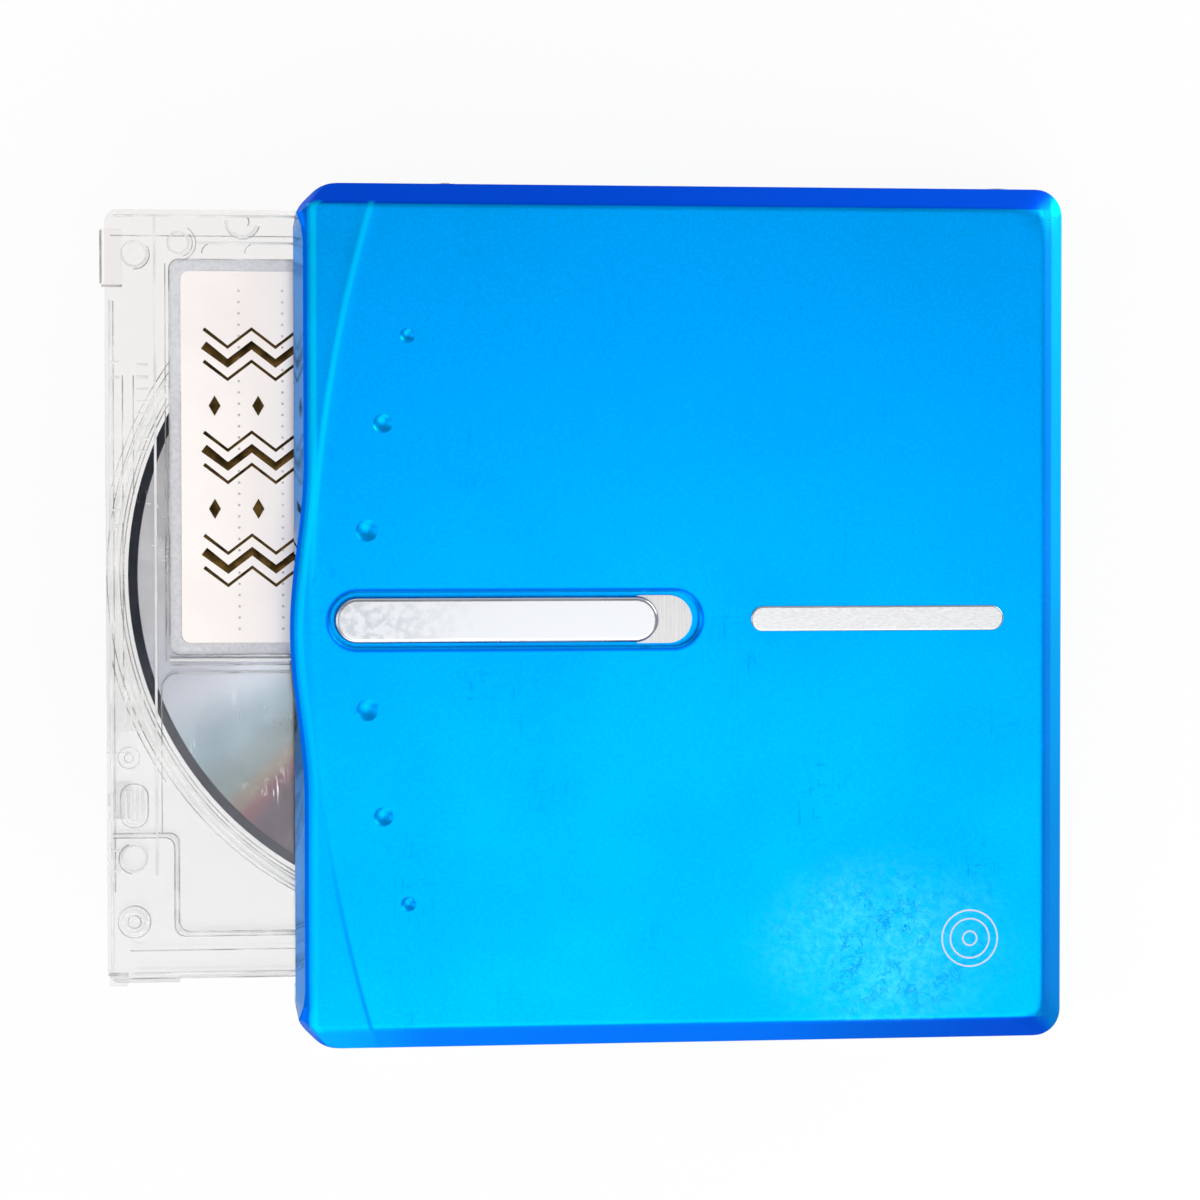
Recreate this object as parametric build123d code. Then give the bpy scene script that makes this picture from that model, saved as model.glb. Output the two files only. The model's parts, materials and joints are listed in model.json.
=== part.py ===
from build123d import *

import os

# A portable minidisc player with its lid open and a cartridge half way into the holder.
#
# Millimetres. +X runs from the slot edge to the hinge edge, +Y along the hinge, +Z up.
# The origin is the middle of the flat bottom. The lid, the disc holder and the cartridge are drawn
# as they lie when the player is shut, and then turned up about the hinge axis by LID_ANGLE.

# ---------------------------------------------------------------- cartridge
CARTRIDGE_LENGTH = 68.0
CARTRIDGE_WIDTH = 72.0
CARTRIDGE_THICKNESS = 5.0
CARTRIDGE_SKIN = 0.9
CARTRIDGE_CORNER = 1.2
CARTRIDGE_OUT = 17.4
CARTRIDGE_ASIDE = 1.9
PIN_HOLE_RADIUS = 1.2
PIN_HOLE_DEPTH = 1.6
PIN_HOLE_INSET = 4.5
PIN_HOLES_FROM_OUTER_END = [(3.0, 1), (3.0, -1), (63.0, 1)]
DISC_RADIUS = 32.0
DISC_THICKNESS = 1.2
DISC_HOLE_RADIUS = 5.5
DISC_OFFSET = 2.0
DISC_ROOM = 0.6
HUB_PLATE_RADIUS = 8.2
HUB_PLATE_THICKNESS = 0.6
HUB_NOSE_RADIUS = 6.6
HUB_NOSE_GAP = 0.05
HUB_PLUG_DROP = 0.2
HUB_WELL_DEPTH = 1.2
HUB_HOLE_RADIUS = 9.0
WINDOW_WIDTH = 14.0
WINDOW_BRIDGE = 1.3
WINDOW_RIM = 0.9
SHUTTER_WIDTH = 24.0
SHUTTER_SHEET = 0.2
SHUTTER_RECESS = 0.35
SHUTTER_LAP = 0.9
SHUTTER_TRAVEL = 15.2
SHUTTER_GAP = 0.1
SHUTTER_PLAY = 0.02
LABEL_START = 7.0
LABEL_LENGTH = 52.0
LABEL_WIDTH = 34.6
LABEL_THICKNESS = 0.1
LABEL_RECESS = 0.16
LABEL_MARGIN = 1.1
LABEL_CORNER = 0.8
LABEL_SIDE = 5.7
TAB_LENGTH = 3.4
TAB_TRAVEL = 2.6
TAB_DEPTH = 2.2
TAB_HEIGHT = 2.2
TAB_INSET = 17.0
TAB_GAP = 0.1
TAB_FACE_DROP = 0.3
TAB_GRIP_WIDTH = 1.0
TAB_GRIP_DROP = 0.05

# ---------------------------------------------------------------- case
SIDE_MARGIN = 4.4
FRONT_MARGIN = 2.0
BACK_MARGIN = 3.0
WALL = 0.6
FLOOR = 0.9
BELT_Z = 3.0
FLOOR_CHAMFER = 0.5
END_PIECE_LENGTH = 6.5
RIM_RISE = 2.8
RIM_GAP = 0.2
SILL_DROP = 0.4
SLOT_CLEARANCE = 0.6
LID_CAVITY = 1.45
LID_SKIN = 0.6
FRONT_CHAMFER = 2.7
CHAMFER_BLEND = 1.4
BACK_RADIUS = 2.6
BULGE = 0.5
BULGE_HALF_LENGTH = 11.0
EDGE_BEVEL_WIDTH = 1.9
EDGE_BEVEL_HEIGHT = 1.3
FACET_ARC_RADIUS = 135.0
FACET_ARC_START = 1.5
FACET_SLOPE_WIDTH = 8.0
FACET_SLOPE_DROP = 1.3

# ---------------------------------------------------------------- hinge and latch
LID_ANGLE = 10.0
HINGE_INSET = 2.6
HINGE_RISE = 1.3
HINGE_PIN_RADIUS = 0.8
HINGE_PIN_CHAMFER = 0.15
HINGE_PLAY = 0.04
HINGE_END_PLAY = 0.03
HINGE_ARM_RADIUS = 1.4
EAR_THICKNESS = 0.8
LID_SPRING_WIRE = 0.4
LID_SPRING_TURNS = 6
LID_SPRING_PITCH = 0.38
LID_SPRING_PLAY = 0.1
LID_SPRING_LAP = 0.5
LID_SPRING_HOLDER_LEG = 6.0
LID_SPRING_CASE_LEG = 5.0
LATCH_SHEET = 0.3
LATCH_LIFT = 0.15
LATCH_START = 5.5
LATCH_WIDTH = 3.0
LATCH_SPINE_HALF_WIDTH = 1.5
LATCH_HOOK_RISE = 1.1
LATCH_HOOK_HEIGHT = 0.5
LATCH_TOE = 1.2
LATCH_WALL_GAP = 0.65
CATCH_SHEET = 0.25
CATCH_NIB = 1.0
CATCH_NIB_HEIGHT = 0.4
CATCH_NIB_GAP = 0.15
CATCH_NIB_LAP = 0.2
CATCH_LEAF_AHEAD = 1.6
CATCH_LEAF_BEHIND = 4.0
CATCH_LEAF_DROP = 1.8
CATCH_RIM_GAP = 0.2

# ---------------------------------------------------------------- disc holder
HOLDER_SHEET = 0.4
HOLDER_GAP = 0.15
HOLDER_ROOM = 1.3
HOLDER_FLANGE = 2.2
HOLDER_FLANGE_BACK_GAP = 4.0
HOLDER_FRONT_INSET = 1.5
HOLDER_STOP_WIDTH = 8.0
HOLDER_STOP_RISE = 1.5
HOLDER_STOP_GAP = 0.2
LEAF_SHEET = 0.15
LEAF_WIDTH = 4.0
LEAF_LENGTH = 15.0
LEAF_SLOT_GAP = 0.4
LEAF_ROOT = 3.0
LEAF_GAP = 0.03
LEAF_FROM_DISC = 12.0
LEAF_FROM_MIDDLE = 17.0
HUB_VIEW = 18.0
DISC_VIEW_WIDTH = 16.0
NEAR_VIEW = (-33.0, 18.0)
FAR_VIEW = (18.0, 12.0)
SIDE_SCREW_RADIUS = 0.65
SIDE_SCREW_HEAD_RADIUS = 1.1
SIDE_SCREW_HEAD_DEPTH = 0.3
SIDE_SCREW_STANDS = 0.15
SIDE_SCREW_DROP = 1.25
SIDE_SCREW_PLAY = 0.05
SIDE_SCREW_TIP = 0.5
SIDE_SCREWS = [(14.2, 1), (67.0, 1), (18.4, -1), (65.1, -1)]
SIDE_TAB_WIDTH = 3.0
SIDE_TAB_DROP = 2.2
CROSS_WIDTH = 0.24
CROSS_LENGTH = 1.4

# ---------------------------------------------------------------- open slider
SLIDER_MIDDLE = -0.3
SLIDER_START = 3.7
SLIDER_LENGTH = 30.4
SLIDER_WIDTH = 4.3
SLIDER_THICKNESS = 0.9
SLIDER_LIFT = 0.05
SLIDER_BEVEL = 0.35
SLIDER_TRAVEL = 3.4
SLIDER_POSTS = [6.0, 20.0]
SLIDER_POST_WIDTH = 1.4
SLIDER_POST_PLAY = 0.1
TROUGH_START = 2.9
TROUGH_END_GAP = 0.5
TROUGH_WIDTH = 5.9
TROUGH_DEPTH = 0.9
TROUGH_FLOOR = 0.6
TROUGH_WALL = 0.85
END_CAP_GAP = 0.7
END_CAP_LENGTH = 5.2
END_CAP_WIDTH = 4.5
END_CAP_THICKNESS = 0.34
SLIDER_SCREW_RADIUS = 0.35
SLIDER_SCREW_HEAD = 0.9
SLIDER_SCREW_GAP = 0.02
SLIDER_SPRING_RADIUS = 0.36
SLIDER_SPRING_WIRE = 0.2
SLIDER_SPRING_LENGTH = 6.0
SLIDER_SPRING_PITCH = 0.5
SLIDER_SPRING_ASIDE = 2.2
SLIDER_SPRING_END_GAP = 0.3
SPRING_SEAT = 0.8

# ---------------------------------------------------------------- lid dimples and plate
DIMPLE_ROWS = [(8.35, 6.7, 1.04), (18.3, 8.2, 0.91), (26.5, 10.5, 0.7)]
DIMPLE_DEPTH = 0.28
PLATE_GAP = 4.8
PLATE_LENGTH = 24.3
PLATE_WIDTH = 2.4
PLATE_THICKNESS = 0.16

# ---------------------------------------------------------------- drive
CHASSIS_DROP = 1.5
CHASSIS_SHEET = 0.5
CHASSIS_FRONT = 22.3
CHASSIS_BACK = 14.7
CHASSIS_SIDE_GAP = 2.8
CHASSIS_NOTCH = 2.5
ROD_DROP = 2.7
TURNTABLE_RADIUS = 7.6
TURNTABLE_THICKNESS = 1.0
TURNTABLE_CHAMFER = 0.2
TURNTABLE_GAP = 0.3
TURNTABLE_ROOM = 0.8
TURNTABLE_HUB_RADIUS = 2.0
TURNTABLE_MOTOR_GAP = 0.3
MAGNET_RADIUS = 5.2
MAGNET_BORE = 2.6
MAGNET_THICKNESS = 0.5
MAGNET_DROP = 0.05
MAGNET_FIT = 0.02
SPINDLE_RADIUS = 0.75
SPINDLE_PLAY = 0.03
SPINDLE_TOP_DROP = 0.4
SPINDLE_FOOT = 1.2
MOTOR_RADIUS = 7.0
MOTOR_DROP = 1.0
MOTOR_SHOULDER = 1.2
MOTOR_SHOULDER_HEIGHT = 0.8
PICKUP_START = 16.0
PICKUP_TRAVEL = 14.0
PICKUP_LENGTH = 13.0
PICKUP_HALF_WIDTH = 10.3
PICKUP_HEIGHT = 4.2
PICKUP_CHAMFER = 1.2
PICKUP_CHASSIS_GAP = 0.4
PICKUP_EAR_LENGTH = 2.4
PICKUP_EAR_HALF = 1.6
PICKUP_FORK_HALF = 1.5
LENS_DROP = 0.5
LENS_RADIUS = 1.9
LENS_FIT = 0.02
LENS_WELL_DEPTH = 1.0
LENS_BARREL_DROP = 0.35
LENS_DOME_RADIUS = 2.6
LENS_DOME_INSET = 0.6
LENS_TURRET = 3.4
LENS_TURRET_DROP = 0.4
LENS_ROOM = 0.6
MAIN_ROD_RADIUS = 0.75
SUB_ROD_RADIUS = 0.6
ROD_PLAY = 0.05
ROD_FIT = 0.005
ROD_OFFSET = 11.8
ROD_NEAR = 1.6
ROD_FAR_GAP = 2.7
SCREW_OFFSET = 15.3
SCREW_RADIUS = 0.9
SCREW_JOURNAL_RADIUS = 0.45
SCREW_GROOVE = 0.2
SCREW_GROOVE_LIFT = 0.05
SCREW_PITCH = 1.0
SCREW_END_PLAY = 0.2
BEARING_HALF = 1.2
RACK_HALF_LENGTH = 3.0
RACK_ARM_HALF = 0.7
RACK_STEP = 0.3
RACK_FOOT_Z = 0.95
RACK_FOOT_TOP = 1.4
SLED_MOTOR_RADIUS = 2.6
SLED_MOTOR_LENGTH = 12.0
SLED_MOTOR_CHAMFER = 0.4
SLED_MOTOR_GAP = 0.1
BRACKET_WIDTH = 2.6
BRACKET_THICKNESS = 1.4
BRACKET_WALL = 0.6
DAMPER_RADIUS = 1.9
DAMPER_HEIGHT = 1.6
DAMPER_SCREW_RADIUS = 0.7
DAMPER_SCREW_HEAD = 1.5
DAMPER_SCREW_HEAD_HEIGHT = 0.3
DAMPER_SCREW_PLAY = 0.1
DAMPER_SCREW_FIT = 0.02
DAMPER_HOLE_FOOT = 1.0
DAMPER_INSET = 2.6
DAMPER_LEAD_SCREW_SHIFT = 2.0
DAMPER_BOSS_SHIFT = 9.0
DAMPER_BAY_SHIFT = 2.8
GUIDE_POST_RADIUS = 0.9
GUIDE_POST_INSET = 2.0
GUIDE_POST_NEAR = 16.0
GUIDE_POST_FAR = 10.0
GUIDE_POST_FRONT = 20.0

# ---------------------------------------------------------------- power
BATTERY_LENGTH = 67.0
BATTERY_WIDTH = 17.0
BATTERY_THICKNESS = 6.0
BATTERY_EDGE = 0.8
BATTERY_BACK_INSET = 3.4
BATTERY_GAP = 0.2
BATTERY_CONTACT = 1.2
BATTERY_NUB = 0.4
BATTERY_NUB_INSET = 5.0
BATTERY_NUB_DROP = 1.5
CONTACT_SHEET = 0.2
CONTACT_HALF_WIDTH = 3.0
CONTACT_DROP = 1.2
CONTACT_END_GAP = 0.05
BAY_WALL = 0.8
DOOR_GAP = 0.1
DOOR_KNUCKLE_RADIUS = 0.5
DOOR_KNUCKLE_DROP = 0.05
DOOR_PIN_RADIUS = 0.25
DOOR_PIN_FIT = 0.005
DOOR_PIN_DEPTH = 0.5
DOOR_PIN_END_GAP = 0.05
DOOR_REACH = 0.9
DOOR_CONTACT_INSET = 5.0
DOOR_CONTACT_REACH = 0.5
NAIL_GROOVE = 0.4
NAIL_GROOVE_DEPTH = 0.3
NAIL_GROOVE_INSET = 1.0
NAIL_GROOVE_DROP = 1.6
TERMINAL_RADIUS = 1.0
TERMINAL_SINK = 0.1
TERMINAL_REACH = 0.3
TERMINAL_PLAY = 0.05
TERMINALS = [-4.0, 0.0]

# ---------------------------------------------------------------- boards, controls, fasteners
BOARD_LIFT = 1.5
BOARD_THICKNESS = 0.8
BOARD_WIDTH = 16.0
BOARD_GAP = 0.6
BOARD_SIDE_GAP = 2.6
BOARD_HOLE_GAP = 0.3
BOARD_POST_RADIUS = 1.4
BOARD_POST_INSET = 6.0
BOARD_POST_STEP = 14.0
# each chip: from the board's corner along X, from the middle along Y, its two sides and its height
CHIPS = [
    (2.2, 10.5, 8.5, 8.5, 1.2),
    (1.2, -1.5, 9.0, 9.0, 1.1),
    (2.7, -13.0, 6.5, 9.0, 1.3),
    (11.8, 16.0, 2.6, 4.5, 1.0),
    (12.0, 7.6, 2.2, 6.0, 2.2),
    (11.6, -16.0, 2.6, 2.6, 1.8),
    (1.7, -26.5, 5.0, 4.0, 2.4),
    (9.2, -25.0, 3.4, 3.4, 2.0),
]
FLEX_SHEET = 0.15
FLEX_WIDTH = 3.5
FLEX_START = 11.9
FLEX_LIFT = 2.2
FLEX_DROP_INSET = 3.0
FLEX_TAIL = 6.0
FLEX_MOTOR_GAP = 0.1
JACK_RADIUS = 1.8
JACK_LENGTH = 13.0
JACK_WIDTH = 6.4
JACK_HEIGHT = 4.5
JACK_FROM_FRONT = 10.2
JACK_BACK = 1.0
JACK_COLLAR_RADIUS = 2.15
JACK_COLLAR_STANDS = 0.1
JACK_PLAY = 0.05
CONTROL_RISE = 2.6
BUTTON_START = 7.0
BUTTON_LENGTH = 6.0
BUTTON_SPACE = 1.6
BUTTON_HEIGHT = 2.2
BUTTON_STANDS = 0.55
BUTTON_EDGE = 0.25
BUTTON_TRAVEL = 0.35
BUTTON_GAP = 0.1
BUTTON_FLANGE = 0.4
BUTTON_FLANGE_REACH = 0.5
FLANGE_WALL_GAP = 0.03
BUTTON_NAMES = ["volume_down", "volume_up", "back", "forward", "play"]
SWITCH_SHEET = 0.3
SWITCH_DEPTH = 0.9
SWITCH_HALF_LENGTH = 1.5
SWITCH_PLAY = 0.15
SWITCH_BOARD_REACH = 1.0
SWITCH_BOARD_RISE = 0.3
HOLD_SPACE = 1.5
HOLD_LENGTH = 2.4
HOLD_TRAVEL = 1.4
HOLD_STANDS = 0.4
HOLD_FLANGE_RISE = 0.3
HOLD_FLANGE_BACK = 0.4
HOLD_GROOVES = [0.6, 1.2, 1.8]
HOLD_GROOVE_WIDTH = 0.24
HOLD_GROOVE_DEPTH = 0.2
SENSOR_BOARD_INSET = 7.0
SENSOR_LENGTH = 2.2
SENSOR_WIDTH = 2.6
SENSOR_INSETS = [17.0, 5.0]
SENSOR_PLUNGER_RADIUS = 0.5
SENSOR_CHASSIS_GAP = 0.5
SCREW_BOSS_RADIUS = 1.7
SCREW_BOSS_GAP = 1.0
SCREW_HEAD_RADIUS = 1.2
SCREW_HEAD_DEPTH = 0.4
SCREW_HEAD_SINK = 0.05
SCREW_SHANK_RADIUS = 0.6
SCREW_PLAY = 0.1
SCREW_HOLE_END = 0.8
SCREW_TIP_GAP = 0.2
CASE_SCREW_INSET = 4.4
CASE_SCREW_DROP = 0.7
CASE_CROSS_DEPTH = 0.25
GUSSET = 1.2
CUT = 1.0

# ---------------------------------------------------------------- worked out from the above
BODY_X = CARTRIDGE_LENGTH + FRONT_MARGIN + BACK_MARGIN
BODY_Y = CARTRIDGE_WIDTH + 2 * SIDE_MARGIN
FRONT = -BODY_X / 2
BACK = BODY_X / 2
SIDE = BODY_Y / 2
INNER_SIDE = SIDE - WALL
BATTERY_X = BACK - WALL - BATTERY_BACK_INSET - BATTERY_WIDTH
BATTERY_Z = FLOOR + BATTERY_GAP
BATTERY_Y = -INNER_SIDE + BATTERY_CONTACT
BAY_X = BATTERY_X - BATTERY_GAP
BAY_BACK = BATTERY_X + BATTERY_WIDTH + BATTERY_GAP
BAY_TOP = BATTERY_Z + BATTERY_THICKNESS + BATTERY_GAP
BAY_END = BATTERY_Y + BATTERY_LENGTH + BATTERY_CONTACT
CARTRIDGE_Z = BAY_TOP + HOLDER_ROOM
CARTRIDGE_TOP = CARTRIDGE_Z + CARTRIDGE_THICKNESS
CARTRIDGE_MIDDLE = CARTRIDGE_Z + CARTRIDGE_THICKNESS / 2
SEATED = FRONT + FRONT_MARGIN
SEATED_END = SEATED + CARTRIDGE_LENGTH
DISC_X = SEATED + CARTRIDGE_LENGTH / 2
DISC_Y = CARTRIDGE_ASIDE + DISC_OFFSET
DISC_Z = CARTRIDGE_MIDDLE - DISC_THICKNESS / 2
HALF_WIDTH = CARTRIDGE_WIDTH / 2
WINDOW_NEAR = DISC_OFFSET - HUB_HOLE_RADIUS - WINDOW_BRIDGE
SHUTTER_END = WINDOW_NEAR + SHUTTER_LAP
HOLDER_INSIDE = HALF_WIDTH + HOLDER_GAP
HOLDER_OUTSIDE = HOLDER_INSIDE + HOLDER_SHEET
HOLDER_Z = CARTRIDGE_TOP + HOLDER_GAP
HOLDER_TOP = HOLDER_Z + HOLDER_SHEET
FLANGE_TOP = CARTRIDGE_Z - HOLDER_GAP
FLANGE_Z = FLANGE_TOP - HOLDER_SHEET
SIDE_SCREW_Z = HOLDER_TOP - SIDE_SCREW_DROP
CEILING_Z = HOLDER_TOP + LID_CAVITY
HEIGHT = CEILING_Z + LID_SKIN
LID_RIM_Z = CARTRIDGE_Z + RIM_RISE
RIM_Z = LID_RIM_Z - RIM_GAP
SILL_Z = CARTRIDGE_Z - SILL_DROP
SLOT_Y0 = CARTRIDGE_ASIDE - HALF_WIDTH - SLOT_CLEARANCE
SLOT_Y1 = CARTRIDGE_ASIDE + HALF_WIDTH + SLOT_CLEARANCE
HINGE_X = BACK - HINGE_INSET
HINGE_Z = CARTRIDGE_Z + HINGE_RISE
HINGE = Axis((HINGE_X, 0, HINGE_Z), (0, 1, 0))
PULLED = -(CARTRIDGE_OUT + FRONT_MARGIN)
LATCH_HOOK_Z = CARTRIDGE_Z + LATCH_HOOK_RISE
LATCH_TOP = HOLDER_TOP + LATCH_LIFT + LATCH_SHEET
LATCH_BOTTOM = LATCH_TOP - LATCH_SHEET
TROUGH_Z = HEIGHT - TROUGH_DEPTH
TROUGH_LENGTH = SLIDER_START - TROUGH_START + SLIDER_LENGTH + SLIDER_TRAVEL + TROUGH_END_GAP
PLATE_START = TROUGH_START + TROUGH_LENGTH + PLATE_GAP
SPRING_Y = SLIDER_MIDDLE + TROUGH_WIDTH / 2 + SLIDER_SPRING_ASIDE
CHASSIS_Z = CARTRIDGE_Z - CHASSIS_DROP
CHASSIS_TOP = CHASSIS_Z + CHASSIS_SHEET
SEAT_Z = CARTRIDGE_Z - TURNTABLE_GAP
DRIVE_Z = CHASSIS_Z - ROD_DROP
MOTOR_TOP = CHASSIS_Z - MOTOR_DROP
PICKUP_Y = DISC_Y - PICKUP_START
PICKUP_TOP = CHASSIS_Z - PICKUP_CHASSIS_GAP
PICKUP_BOTTOM = PICKUP_TOP - PICKUP_HEIGHT
LENS_TOP = CARTRIDGE_Z - LENS_DROP
SCREW_X = DISC_X - SCREW_OFFSET
RODS_START = -INNER_SIDE + ROD_FAR_GAP
RODS_END = DISC_Y - MOTOR_RADIUS - ROD_NEAR
DOOR_X = BAY_BACK + DOOR_KNUCKLE_RADIUS + DOOR_GAP
DOOR_Y = -SIDE + DOOR_KNUCKLE_RADIUS + DOOR_KNUCKLE_DROP
BOARD_X = FRONT + WALL + BOARD_GAP
BOARD_Z = FLOOR + BOARD_LIFT
BOARD_TOP = BOARD_Z + BOARD_THICKNESS
BOARD_HALF = INNER_SIDE - BOARD_SIDE_GAP
JACK_X = FRONT + JACK_FROM_FRONT
JACK_Z = BOARD_TOP + JACK_HEIGHT / 2
CONTROL_Z = BELT_Z + CONTROL_RISE
BUTTON_PITCH = BUTTON_LENGTH + BUTTON_SPACE
BUTTON_PLACES = [FRONT + BUTTON_START + BUTTON_PITCH * i for i in range(len(BUTTON_NAMES))]
HOLD_X = BUTTON_PLACES[-1] + BUTTON_LENGTH + HOLD_SPACE
SWITCH_FRONT = INNER_SIDE - BUTTON_FLANGE - BUTTON_TRAVEL - SWITCH_PLAY
CASE_SCREW_TOP = CHASSIS_Z - CASE_SCREW_DROP
CROSS_HALF = CROSS_LENGTH / 2
SLIT_HALF = CROSS_WIDTH / 2
BIG = 200.0


# ---------------------------------------------------------------- helpers
def block(x0, x1, y0, y1, z0, z1):
    """A box between two corners."""
    return Pos((x0 + x1) / 2, (y0 + y1) / 2, (z0 + z1) / 2) * Box(x1 - x0, y1 - y0, z1 - z0)


def pad(half_x, half_y, x, y, z0, z1):
    """An upright block round a middle point."""
    return block(x - half_x, x + half_x, y - half_y, y + half_y, z0, z1)


def side_block(x0, x1, side, near, far, z0, z1):
    """A box on one side of the middle plane, between two distances from it."""
    y0, y1 = sorted((side * near, side * far))
    return block(x0, x1, y0, y1, z0, z1)


def post(radius, x, y, z0, z1):
    """An upright cylinder."""
    return Pos(x, y, (z0 + z1) / 2) * Cylinder(radius, z1 - z0)


def bar_y(radius, x, z, y0, y1):
    """A cylinder along Y."""
    return Pos(x, (y0 + y1) / 2, z) * Rot(90, 0, 0) * Cylinder(radius, y1 - y0)


def side_bar(radius, x, z, side, near, far):
    """A cylinder along Y on one side of the middle plane, between two distances from it."""
    y0, y1 = sorted((side * near, side * far))
    return bar_y(radius, x, z, y0, y1)


def bar_x(radius, y, z, x0, x1):
    """A cylinder along X."""
    return Pos((x0 + x1) / 2, y, z) * Rot(0, 90, 0) * Cylinder(radius, x1 - x0)


def slab(sketch, z0, z1):
    """A flat outline pulled up between two heights."""
    return extrude(Pos(0, 0, z0) * sketch, amount=z1 - z0)


def stadium(length, width, x0, y, z0, z1):
    """A long rounded bar that starts at x0."""
    return slab(Pos(x0 + length / 2, y, 0) * SlotOverall(length, width), z0, z1)


def upright_cross(half, x, y, z0, z1):
    """Two crossing slits, for the head of an upright screw."""
    return pad(half, SLIT_HALF, x, y, z0, z1) + pad(SLIT_HALF, half, x, y, z0, z1)


def both_sides(piece):
    """A piece and its mirror image across the middle plane."""
    return piece + piece.mirror(Plane.XZ)


def opened(shape):
    """Turns a shape from the shut position to the open one."""
    return shape.rotate(HINGE, LID_ANGLE)


def beside(shape):
    """Moves a piece drawn about the cartridge's middle line to the side where the cartridge lies."""
    return Pos(0, CARTRIDGE_ASIDE, 0) * shape


def pulled(shape):
    """Moves a cartridge piece from its seat to where it stands out of the slot, lid open."""
    return opened(beside(Pos(PULLED, 0, 0) * shape))


def plan(inset=0.0):
    """The player's outline from above: cut corners at the slot, round ones at the hinge."""
    half_x = BODY_X / 2 - inset
    half_y = BODY_Y / 2 - inset
    cut = FRONT_CHAMFER - inset * (2 - 2**0.5)
    radius = max(BACK_RADIUS - inset, BACK_RADIUS / 4)
    blend = max(CHAMFER_BLEND - inset / 2, CHAMFER_BLEND / 4)
    sketch = Rectangle(2 * half_x, 2 * half_y)
    sketch = fillet(sketch.vertices().filter_by(lambda v: v.X > 0), radius)
    sketch = chamfer(sketch.vertices().filter_by(lambda v: v.X < 0), cut)
    return fillet(sketch.vertices().filter_by(lambda v: v.X < FRONT / 2), blend)


# ---------------------------------------------------------------- base
def case_screw_places():
    """Where the screws from below hold the case together: two in front, one midway, one at the hinge."""
    y = SIDE - CASE_SCREW_INSET
    x_front = FRONT + CASE_SCREW_INSET
    x_middle = DISC_X + MOTOR_RADIUS + SCREW_BOSS_RADIUS + SCREW_BOSS_GAP
    return [(x_front, y), (x_front, -y), (x_middle, y), (BACK - CASE_SCREW_INSET, y)]


def damper_places():
    """Where the chassis stands on its rubber dampers."""
    x_front = DISC_X - CHASSIS_FRONT + DAMPER_INSET
    x_back = DISC_X + CHASSIS_BACK - DAMPER_INSET
    y = INNER_SIDE - CHASSIS_SIDE_GAP - DAMPER_INSET
    return [
        (x_front, y),
        (x_front, DAMPER_LEAD_SCREW_SHIFT - y),
        (x_back, y - DAMPER_BOSS_SHIFT),
        (x_back, DISC_Y - DAMPER_BAY_SHIFT),
    ]


def board_post_places():
    """Where the main board stands on the bottom."""
    x = BOARD_X + BOARD_WIDTH / 2
    y = BOARD_HALF - BOARD_POST_INSET
    return [(x, y - BOARD_POST_STEP), (x, 0), (x, -y)]


def bottom_cover():
    shell = slab(plan(), 0, BELT_Z) - slab(plan(WALL), FLOOR, BELT_Z + CUT)
    lower_edge = shell.edges().group_by(Axis.Z)[0]
    shell = chamfer(lower_edge, FLOOR_CHAMFER)
    for x, y in case_screw_places():
        shell = shell + post(SCREW_BOSS_RADIUS, x, y, FLOOR, BELT_Z)
        shell = shell - post(SCREW_SHANK_RADIUS + SCREW_PLAY, x, y, -CUT, BELT_Z + CUT)
        shell = shell - post(SCREW_HEAD_RADIUS + SCREW_PLAY, x, y, -CUT, SCREW_HEAD_DEPTH)
    for x, y in damper_places():
        shell = shell + post(DAMPER_RADIUS, x, y, FLOOR, CHASSIS_Z - DAMPER_HEIGHT)
        shell = shell - post(DAMPER_SCREW_RADIUS, x, y, FLOOR + DAMPER_HOLE_FOOT, CHASSIS_Z)
    for x, y in board_post_places():
        shell = shell + post(BOARD_POST_RADIUS, x, y, FLOOR, BOARD_Z)
    shell = shell - bay_mouth(FLOOR, BELT_Z + CUT) - door_recess()
    return shell - post(DOOR_PIN_RADIUS, DOOR_X, DOOR_Y, FLOOR - DOOR_PIN_DEPTH, BELT_Z)


def bay_mouth(z0, z1):
    """The opening in the side wall that the battery goes in by."""
    return block(BAY_X, BAY_BACK, -SIDE - CUT, CUT - INNER_SIDE, z0, z1)


def door_recess():
    """The room in the side wall for the battery door and its knuckle."""
    reach = DOOR_KNUCKLE_RADIUS + DOOR_GAP
    leaf = block(BAY_X - DOOR_REACH, DOOR_X, -SIDE - CUT, -INNER_SIDE, FLOOR, BAY_TOP)
    knuckle = post(reach, DOOR_X, DOOR_Y, FLOOR, BAY_TOP)
    swing = block(DOOR_X, DOOR_X + reach, -SIDE - CUT, DOOR_Y, FLOOR, BAY_TOP)
    return leaf + knuckle + swing


def case_ring(x0, x1, y0, y1):
    """What lies between two corners of the wall that joins the bottom cover to the lid's rim."""
    ring = slab(plan(), BELT_Z, RIM_Z) - slab(plan(WALL), BELT_Z - CUT, RIM_Z + CUT)
    slot = block(FRONT - CUT, FRONT + END_PIECE_LENGTH, SLOT_Y0, SLOT_Y1, SILL_Z, RIM_Z + CUT)
    swept = block(-BIG, BIG, -BIG, BIG, RIM_Z, RIM_Z + BIG)
    ring = ring - slot - opened(swept)
    return ring & block(x0, x1, y0, y1, 0, HEIGHT)


def screw_boss(x, y):
    """A boss that takes a case screw, with a gusset to the side wall, less the screw's hole."""
    side = 1 if y > 0 else -1
    gusset = side_block(x - GUSSET / 2, x + GUSSET / 2, side, abs(y), INNER_SIDE, BELT_Z, CASE_SCREW_TOP)
    boss = post(SCREW_BOSS_RADIUS, x, y, BELT_Z, CASE_SCREW_TOP) + gusset
    return boss - post(SCREW_SHANK_RADIUS, x, y, BELT_Z - CUT, CASE_SCREW_TOP - SCREW_HOLE_END)


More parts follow.
